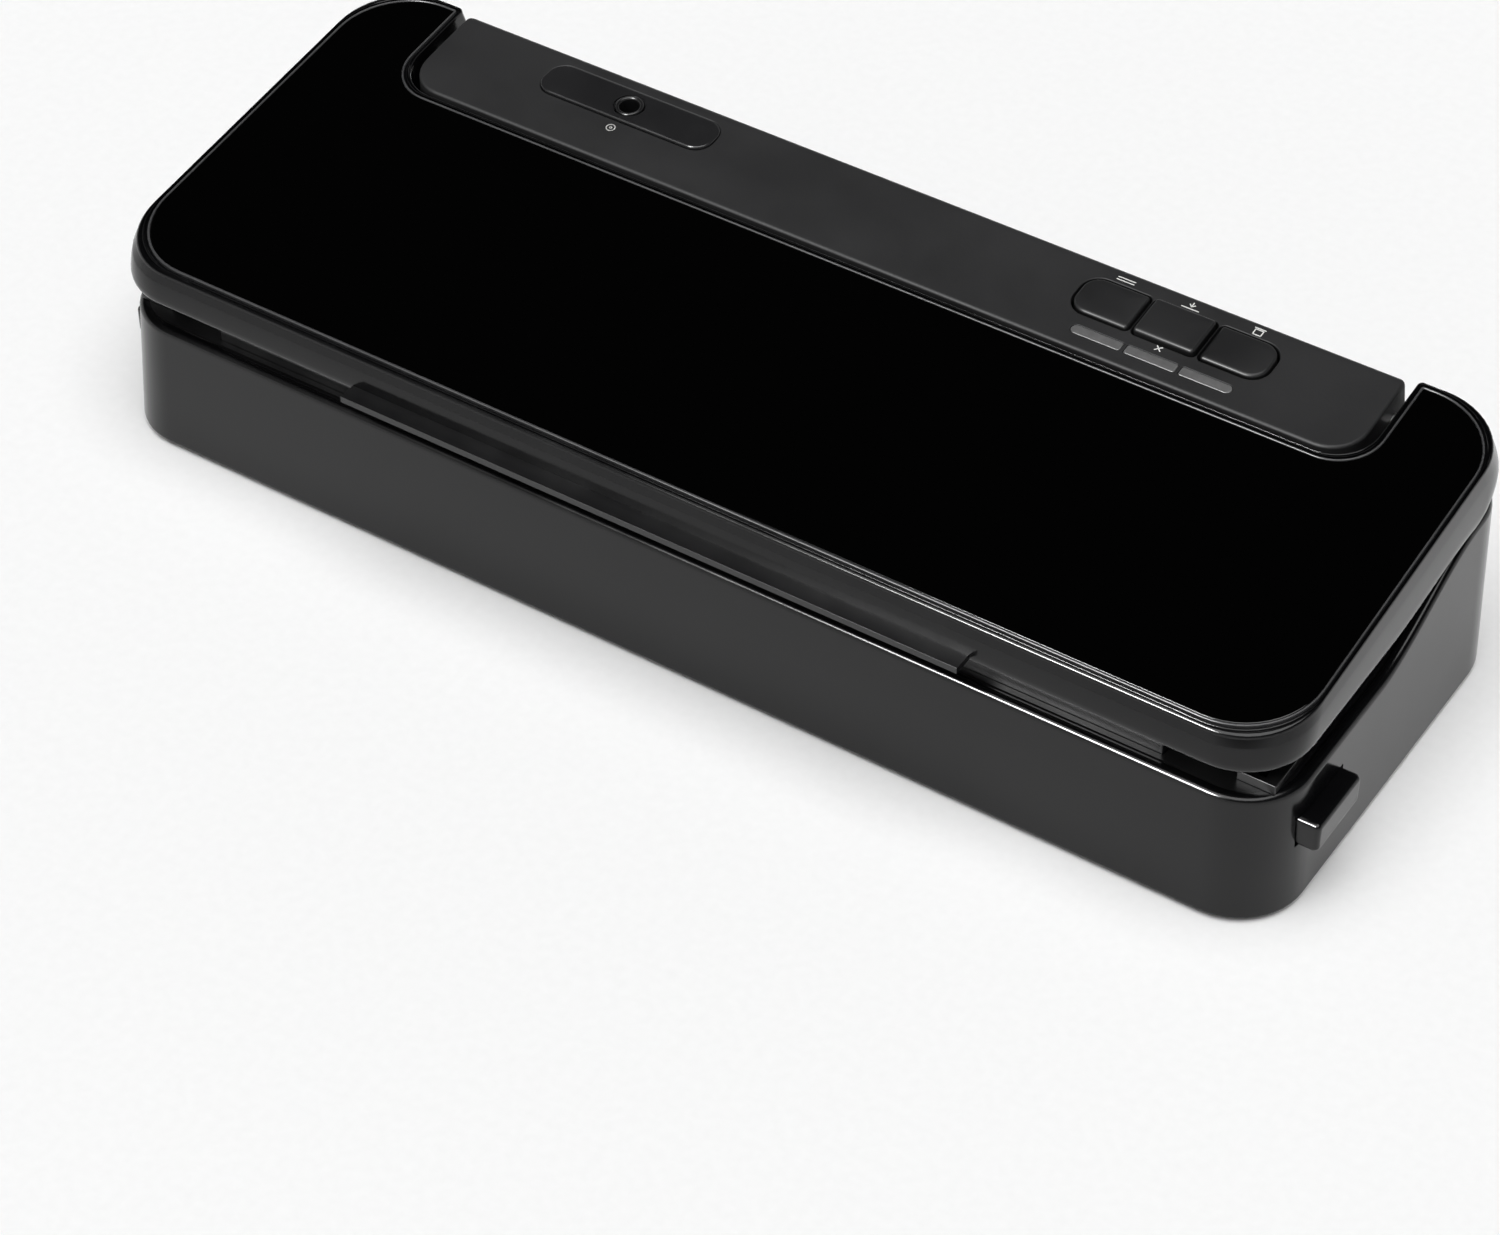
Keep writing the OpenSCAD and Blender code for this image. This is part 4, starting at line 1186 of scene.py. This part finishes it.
class SEALER_OT_console(bpy.types.Operator):
    """Builds the console, its port, keys and indicator windows"""

    bl_idname = "sealer.console"
    bl_label = "Console"

    def execute(self, context):
        keys, lenses = key_places()
        port = slope_frame(PORT.x, PORT_TOP.y)
        holes = [moved_by(port, flared(pad_outline, mm(1.0), mm(0.3)))]
        holes.append(
            moved_by(
                port,
                flared(
                    lambda g: outline(
                        box_corners(mm(4.3) + g, -mm(4.3) - g, mm(4.3) + g), [mm(4.29) + g] * 4, arc=8,
                    ),
                    mm(20), mm(0.1),
                ),
            )
        )
        for i, at in enumerate(keys):
            holes.append(
                moved_by(slope_frame(*at), flared(lambda g, i=i: key_outline(i, mm(0.75) + g), mm(9), mm(0.3)))
            )
        for i, at in enumerate(lenses):
            holes.append(
                moved_by(slope_frame(*at), flared(lambda g, i=i: lens_outline(i, mm(0.12) + g), mm(9), mm(0.2)))
            )
        shell = console_shell()
        cut(shell, *holes)
        placed(smoothed(shell), "base", "ABS etched moulded charcoal", "console_abs", "console_housing")

        def pad_top(x, y):
            return mm(1.1) - math.tan(math.radians(4)) * (y + mm(6.7))

        pad = shaped("port_island", moved_by(port, capped(pad_outline_in, -mm(1), pad_top, mm(0.55))))
        cut(
            pad,
            moved_by(
                port,
                flared(
                    lambda g: outline(
                        box_corners(mm(4.35) + g, -mm(4.35) - g, mm(4.35) + g), [mm(4.34) + g] * 4, arc=8,
                    ),
                    mm(5), mm(0.5),
                ),
            ),
        )
        placed(smoothed(pad), "base", "ABS satin island charcoal", "console_abs", "port_pad")
        ring = [
            (mm(r), mm(h))
            for r, h in [
                (4.2, -13), (4.2, 0.2), (4.1, 0.6), (3.85, 0.85), (3.6, 0.9), (3.3, 0.82), (3.05, 0.55), (2.9, 0.1),
                (2.9, -13),
            ]
        ]
        bush = shaped("port_ring", moved_by(port, turned(ring)))
        placed(smoothed(bush), "base", "Acetal moulded black", "port_plastic", "port_bush")
        lens = joined(
            *[
                moved_by(
                    slope_frame(*at),
                    capped(lambda g, i=i: lens_outline(i, g), -mm(11.9), mm(0.02), mm(0.25), mm(0.05)),
                )
                for i, at in enumerate(lenses)
            ]
        )
        placed(
            smoothed(shaped("indicator_lenses", lens)), "base", "Polycarbonate smoked lens", "window_plastic",
            "indicator_windows",
        )
        for i, (node, rise) in enumerate(zip(KEYS, (0.7, 1.5, 0.7))):
            key = capped(
                lambda g, i=i: key_outline(i, g), -mm(5.2), mm(rise), context.scene.sealer_sizes.key_edge, mm(0.12),
            )
            obj = smoothed(shaped(node.replace("button", "key"), moved_by(slope_frame(*keys[i]), key)))
            placed(obj, node, "ABS etched key charcoal", "console_abs", node)
        placed(console_marks(keys), "base", "Ink printed white", "console_abs")
        return {"FINISHED"}


def pad_outline_in(grow):
    """The island's outline, a hair inside its pocket."""
    return pad_outline(grow - mm(0.1))


# ---- Lid ----

NOTCH = CONSOLE_HI.x + mm(2.6), CONSOLE_LO.y - mm(1.4)
LID_CORNERS = [
    (LID_LO.x, LID_LO.y), (LID_HI.x, LID_LO.y), (LID_HI.x, BACK), (NOTCH[0], BACK),
    (NOTCH[0], NOTCH[1]), (-NOTCH[0], NOTCH[1]), (-NOTCH[0], BACK), (LID_LO.x, BACK),
]
# How far in from the lid's outline its shoulder, the bezel and the glass start, on each edge
SHOULDER = [mm(v) for v in (2.0, 0.7, 3.7, 0.25, 0.25, 0.25, 3.7, 0.7)]
RIM = [mm(v) for v in (3.9, 1.5, 4.7, 1.3, 1.3, 1.3, 4.7, 1.5)]
TO_GLASS = [mm(v) for v in (5.5, 2.7, 5.9, 2.5, 2.5, 2.5, 5.9, 2.7)]
LINER = [mm(v) for v in (4.9, 4.9, 19.5, 2.4, 2.4, 2.4, 19.5, 4.9)]


def lid_ring(insets, z, outer, tip, notch):
    """A ring of the lid: outer, tip and notch are the radii of its outer corners, rear tips and notch corners."""
    radii = [outer, outer, outer, tip, notch, notch, tip, outer]
    points = outline(LID_CORNERS, radii, insets, splits=[40, 60, 6, 20, 40, 20, 6, 60], arc=12)
    return level(points, z)


# Heights up the band, 0 to 1, and how far in the outline is there: in mm where the lower edge rounds,
# then as a share of the way to the shoulder
LOWER_EDGE = (
    (0.0, 0.95), (0.004, 0.85), (0.012, 0.66), (0.025, 0.5), (0.04, 0.38), (0.06, 0.26), (0.09, 0.14), (0.12, 0.07),
    (0.16, 0.02), (0.2, 0.0),
)
BAND = ((0.24, 0.0), (0.3, 0.04), (0.36, 0.08), (0.42, 0.12), (0.5, 0.2), (0.6, 0.3), (0.67, 0.4), (0.74, 0.5))


def band_ring(up, edge, share):
    """A level slice of the lid's band, at a height up it, in by edge and by a share of the way to its shoulder."""
    arm = HINGE.z - ARM_R
    insets = [edge + w * share for w in SHOULDER]
    insets[2] = insets[6] = rear_in(arm + (plane_z(BACK - LEAN) - arm) * up) + mm(0.02)

    def height(x, y):
        return lid_low(y) + (plane_z(y) - lid_low(y)) * up

    return lid_ring(insets, height, mm(20.2 + share) - edge, mm(2.2 - 0.6 * share), mm(13.6 - 0.2 * share))


def rim_ring(share, z):
    """A ring of the lid's rim at a share of its width, from 0 at the shoulder to 1 at the bezel."""
    insets = [a + (b - a) * share for a, b in zip(SHOULDER, RIM)]
    return lid_ring(insets, z, mm(21.2 + 2 * share), mm(1.6 - 0.6 * share), mm(13.4 - 0.5 * share))


def glass_ring(share, z):
    """A ring of the bezel at a share of its width, from 0 at the rim to 1 at the glass."""
    insets = [a + (b - a) * share for a, b in zip(RIM, TO_GLASS)]
    return lid_ring(insets, z, mm(23.2 - 1.2 * share), mm(1.0 - 0.6 * share), mm(12.9 + 1.2 * share))


def under(drop):
    return lambda x, y: plane_z(y) - drop


def lid_shell():
    """The lid's outer shell: band, shoulder, rim and the seat of the bezel."""

    def inner(share):
        """Share 0 is the lid's inner wall and 1 the start of its lower edge."""
        ends = [mm(1.3)] * 8
        ends[2] = ends[6] = ARM_R + mm(0.5)
        insets = [a + (b - a) * share for a, b in zip(LINER, ends)]
        return lid_ring(insets, lambda x, y: lid_low(y), mm(16 + 3 * share), mm(1.0 + share), mm(13.6))

    rings = [inner(s) for s in (0.0, 0.25, 0.5, 0.75, 1.0)]
    rings += [band_ring(up, mm(edge), 0.0) for up, edge in LOWER_EDGE]
    rings += [band_ring(up, 0.0, share) for up, share in BAND]
    soft = mm(1.2)
    for t in range(7):
        a = math.pi / 2 * t / 6
        rings.append(rim_ring(0.46 * (1 - math.cos(a)), under(soft * (1 - math.sin(a)))))
    for share, drop in (
        (0.52, 0.06), (0.57, 0.45), (0.66, 0.48), (0.7, 0.4), (0.74, 0.1), (0.8, 0.0), (0.88, 0.0), (0.94, 0.12),
        (0.96, 0.8),
    ):
        rings.append(rim_ring(share, under(mm(drop))))
    rings += [glass_ring(0.42, under(mm(0.8))), glass_ring(0.45, under(mm(2.15)))]
    rings.append(lid_ring(LINER, under(mm(2.3)), mm(16), mm(1.0), mm(13.6)))
    return shaped("lid_body", lofted(rings, closed=True))


def bezel():
    rings = [glass_ring(0.47, under(mm(2.1)))]
    for share, drop in (
        (0.47, 0.4), (0.5, 0.18), (0.57, 0.04), (0.68, 0.0), (0.8, 0.0), (0.9, 0.05), (0.96, 0.2), (0.99, 0.4),
        (0.99, 2.1),
    ):
        rings.append(glass_ring(share, under(mm(drop))))
    return shaped("glass_bezel", lofted(rings, closed=True))


def glass_plate():
    def pane(extra, drop):
        insets = [w + mm(0.08) + extra for w in TO_GLASS]
        return lid_ring(insets, under(drop), mm(22), mm(0.4), mm(14.1))

    rings = [
        pane(0.0, mm(2.15)), pane(0.0, mm(0.28)), pane(mm(0.06), mm(0.18)), pane(mm(0.18), mm(0.14)),
        pane(mm(0.4), mm(0.13)),
    ]
    return shaped("glass_sheet", lofted(rings, True, True))


class SEALER_OT_lid(bpy.types.Operator):
    """Builds the lid's shell, bezel, glass, liner, gasket, pressure strip, hooks and screws"""

    bl_idname = "sealer.lid"
    bl_label = "Lid"

    def execute(self, context):
        shell = lid_shell()
        pins = []
        for side in (-1, 1):
            pin = [(mm(2.56), -mm(1)), (mm(2.56), mm(15))]
            rings = [
                [(h, r * math.cos(2 * math.pi * i / 32), r * math.sin(2 * math.pi * i / 32)) for i in range(32)]
                for r, h in pin
            ]
            verts, faces = lofted(rings, True, True)
            place = Matrix.Translation(
                (side * NOTCH[0], HINGE.y, HINGE.z)
            ) @ Matrix.Rotation(0 if side > 0 else math.pi, 4, "Z")
            pins.append(moved_by(place, (verts, faces)))
        cut(shell, *pins)
        placed(smoothed(shell), "lid", "ABS gloss moulded black", "lid_abs", "lid_cover")
        # The bezel's charcoal tone is a painted highlight along its crown
        placed(smoothed(bezel()), "lid", "ABS satin bezel charcoal", "frame_abs", "glass_frame")
        placed(smoothed(glass_plate()), "lid", "Glass back-painted black", "glass", "glass_panel")
        placed(
            softened("lid_inner_panel", "lid_liner", mm(0.35)), "lid", "ABS plain moulded black", "inner_abs",
            "lid_liner",
        )
        placed(
            gasket("lid_gasket", "upper_gasket", "EPDM foam skinned grey"), "lid", "EPDM foam skinned grey", "foam",
            "upper_gasket",
        )
        placed(
            softened("press_strip", "pressure_strip", mm(0.8)), "lid", "Silicone moulded grey", "silicone",
            "pressure_strip",
        )
        placed(
            softened("lid_hooks", "latch_hooks", mm(0.3)), "lid", "ABS plain moulded black", "inner_abs",
            "latch_hooks",
        )
        heads = [((lo.x + hi.x) / 2, (lo.y + hi.y) / 2, LID_LO.z) for lo, hi in centres("lid_screws")]
        screws = repeated("liner_screws", screw_shape(2.8, 1.5, 8, -1), heads, "Steel zinc-plated", math.pi)
        placed(screws, "lid", "Steel zinc-plated", "screw_steel", "lid_screws")
        return {"FINISHED"}


# ---- Latch releases ----


def latch_release(side):
    """A release: the catch and flange inside as framed, and the bar outside with full round edges."""
    obj = softened("latch_" + side, "release_" + side, mm(0.2), 1)
    wall = BASE_HI.x - mm(2.6)
    for v in obj.data.vertices:
        v.co.x = min(max(v.co.x, -wall), wall)
    (x0, y0, z0), (x1, y1, z1) = release_bar(side)
    high = z1 - z0
    out = 1 if side == "right" else -1
    bar = block((-high / 2, y0, wall - mm(0.5)), (high / 2, y1, max(abs(x0), abs(x1))), mm(1.5))
    turn = Matrix.Translation((0, 0, (z0 + z1) / 2)) @ Matrix.Rotation(out * math.pi / 2, 4, "Y")
    grip = shaped("grip", moved_by(turn, bar))
    bm = bmesh.new()
    bm.from_mesh(obj.data)
    bm.from_mesh(grip.data)
    bm.to_mesh(obj.data)
    bm.free()
    bpy.data.objects.remove(grip)
    return smoothed(obj)


class SEALER_OT_releases(bpy.types.Operator):
    """Builds the two latch releases and their springs"""

    bl_idname = "sealer.releases"
    bl_label = "Latch releases"

    def execute(self, context):
        for side in ("left", "right"):
            bar = latch_release(side)
            placed(bar, "release_" + side, "ABS satin moulded black", "inner_abs", "release_" + side)
            lo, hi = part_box("release_spring_" + side)
            wire = mm(0.4)
            coil = grown(
                "latch_coil_" + side, coil_tree(),
                {
                    "Turns": 4.0, "Coil radius": (
                        hi.z - lo.z
                    ) / 2 - wire, "Coil length": hi.x - lo.x - 2 * wire, "Wire radius": wire,
                    "Place": (
                        lo.x + wire, (lo.y + hi.y) / 2, (lo.z + hi.z) / 2,
                    ), "Material": bpy.data.materials["Spring steel drawn wire"],
                },
            )
            placed(coil, "base", "Spring steel drawn wire", "spring_steel", "release_spring_" + side)
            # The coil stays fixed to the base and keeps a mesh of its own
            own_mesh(coil)
        return {"FINISHED"}


# ---- Works inside ----

INSIDE = {
    "heater_terminals": "Brass pressed terminal", "lid_switch": "Thermoset switch grey",
    "control_board": "Glass-epoxy board green mask", "tact_switches": "Thermoset switch grey",
    "indicator_leds": "Epoxy cast pale green", "pump_motor": "Motor can plated steel",
    "pump_head": "Nylon glass-filled black", "pump_eccentric": "Steel zinc-plated",
    "pump_bracket": "Steel zinc-plated", "pump_mounts": "Nitrile rubber moulded black",
    "port_hose": "Silicone extruded milky", "channel_hose": "Silicone extruded milky",
    "pressure_switch": "Thermoset switch grey", "transformer": "Motor can plated steel",
    "hinge_pins": "Steel zinc-plated",
}


class SEALER_OT_inside(bpy.types.Operator):
    """Gives the pump, electrics and pins that stay as framed their real finishes"""

    bl_idname = "sealer.inside"
    bl_label = "Works inside"

    def execute(self, context):
        for node, finish in INSIDE.items():
            for held in frame["nodes"][node].material_slots:
                held.material = bpy.data.materials[finish]
        return {"FINISHED"}


class SEALER_OT_materials(bpy.types.Operator):
    """Makes every finish"""

    bl_idname = "sealer.materials"
    bl_label = "Finishes"

    def execute(self, context):
        make_materials(context.scene.sealer_colours)
        return {"FINISHED"}


# ---- Stage ----


def area_light(name, place, aim, size, power, tint=(1.0, 1.0, 1.0)):
    lamp = bpy.data.lights.new(name, "AREA")
    lamp.shape, lamp.size, lamp.size_y, lamp.energy, lamp.color = "RECTANGLE", size[0], size[1], power, tint
    obj = bpy.data.objects.new(name, lamp)
    bpy.context.scene.collection.objects.link(obj)
    obj.location = place
    obj.rotation_euler = (Vector(aim) - Vector(place)).to_track_quat("-Z", "Y").to_euler()
    return obj


class SEALER_OT_stage(bpy.types.Operator):
    """Sets the floor, lights and camera"""

    bl_idname = "sealer.stage"
    bl_label = "Stage"

    def execute(self, context):
        scene = context.scene
        stage = scene.sealer_stage
        half = 12.0
        floor = shaped(
            "floor", ([(-half, -half, 0), (half, -half, 0), (half, half, 0), (-half, half, 0)], [(0, 1, 2, 3)]),
        )
        floor.data.materials.append(bpy.data.materials["Studio board matt white"])
        # Pale studio walls all round, under a dark ceiling
        world = bpy.data.worlds.new("Pale walls, dark ceiling")
        scene.world = world
        world.use_nodes = True
        sky = world.node_tree
        back = sky.nodes["Background"]
        back.inputs["Color"].default_value = (1, 1, 1, 1)
        way = add_node(sky, "ShaderNodeTexCoord")
        rise = add_node(sky, "ShaderNodeSeparateXYZ", links={0: (way, "Generated")})
        glow = add_node(
            sky, "ShaderNodeMapRange",
            {
                "interpolation_type": "SMOOTHSTEP", "From Min": 0.16, "From Max": 0.42, "To Min": 0.9,
                "To Max": 0.006,
            },
            {"Value": (rise, "Z")},
        )
        sky.links.new(glow.outputs[0], back.inputs["Strength"])
        sun = bpy.data.lights.new("soft overhead", "SUN")
        sun.energy, sun.angle = 3.05, math.radians(60)
        over = bpy.data.objects.new("soft overhead", sun)
        scene.collection.objects.link(over)
        over.rotation_euler = Vector((-0.1, 0.2, -0.97)).to_track_quat("-Z", "Y").to_euler()
        # Shows only as highlights along the front edges, so that it throws no shadow
        edge = area_light("edge light", (-0.24, -1.12, 1.0), (0.12, -0.05, 0.05), (0.42, 0.36), 56)
        edge.visible_diffuse = False
        scene.view_settings.view_transform = "Standard"
        camera = bpy.data.cameras.new("camera")
        camera.lens, camera.sensor_width = stage.lens, 36.0
        eye = bpy.data.objects.new("camera", camera)
        scene.collection.objects.link(eye)
        a, e = stage.azimuth, stage.elevation
        back = Vector((math.sin(a) * math.cos(e), -math.cos(a) * math.cos(e), math.sin(e)))
        eye.location = Vector(stage.target) + back * stage.distance
        eye.rotation_euler = (-back).to_track_quat("-Z", "Y").to_euler()
        camera.clip_start, camera.clip_end = 0.01, 30.0
        scene.camera = eye
        return {"FINISHED"}


# ---- Panel and registration ----


class SEALER_PT_panel(bpy.types.Panel):
    """Settings and build steps of the vacuum sealer"""

    bl_idname = "SEALER_PT_panel"
    bl_label = "Vacuum Sealer"
    bl_space_type = "VIEW_3D"
    bl_region_type = "UI"
    bl_category = "Sealer"

    def draw(self, context):
        scene = context.scene
        for group in (scene.sealer_sizes, scene.sealer_colours, scene.sealer_stage):
            box = self.layout.box()
            for name in group.__annotations__:
                box.prop(group, name)
        for step in STEPS:
            self.layout.operator(step.bl_idname)


STEPS = (
    SEALER_OT_materials, SEALER_OT_base, SEALER_OT_deck, SEALER_OT_console,
    SEALER_OT_lid, SEALER_OT_releases, SEALER_OT_inside, SEALER_OT_stage,
)
CLASSES = (SealerSizes, SealerColours, SealerStage, *STEPS, SEALER_PT_panel)


def register():
    for cls in CLASSES:
        bpy.utils.register_class(cls)
    bpy.types.Scene.sealer_sizes = PointerProperty(type=SealerSizes)
    bpy.types.Scene.sealer_colours = PointerProperty(type=SealerColours)
    bpy.types.Scene.sealer_stage = PointerProperty(type=SealerStage)


def unregister():
    del bpy.types.Scene.sealer_stage
    del bpy.types.Scene.sealer_colours
    del bpy.types.Scene.sealer_sizes
    for cls in reversed(CLASSES):
        bpy.utils.unregister_class(cls)


def main():
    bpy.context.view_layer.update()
    register()
    bpy.ops.sealer.materials()
    bpy.ops.sealer.base()
    bpy.ops.sealer.deck()
    bpy.ops.sealer.console()
    bpy.ops.sealer.lid()
    bpy.ops.sealer.releases()
    bpy.ops.sealer.inside()
    bpy.ops.sealer.stage()


if __name__ == "__main__":
    main()
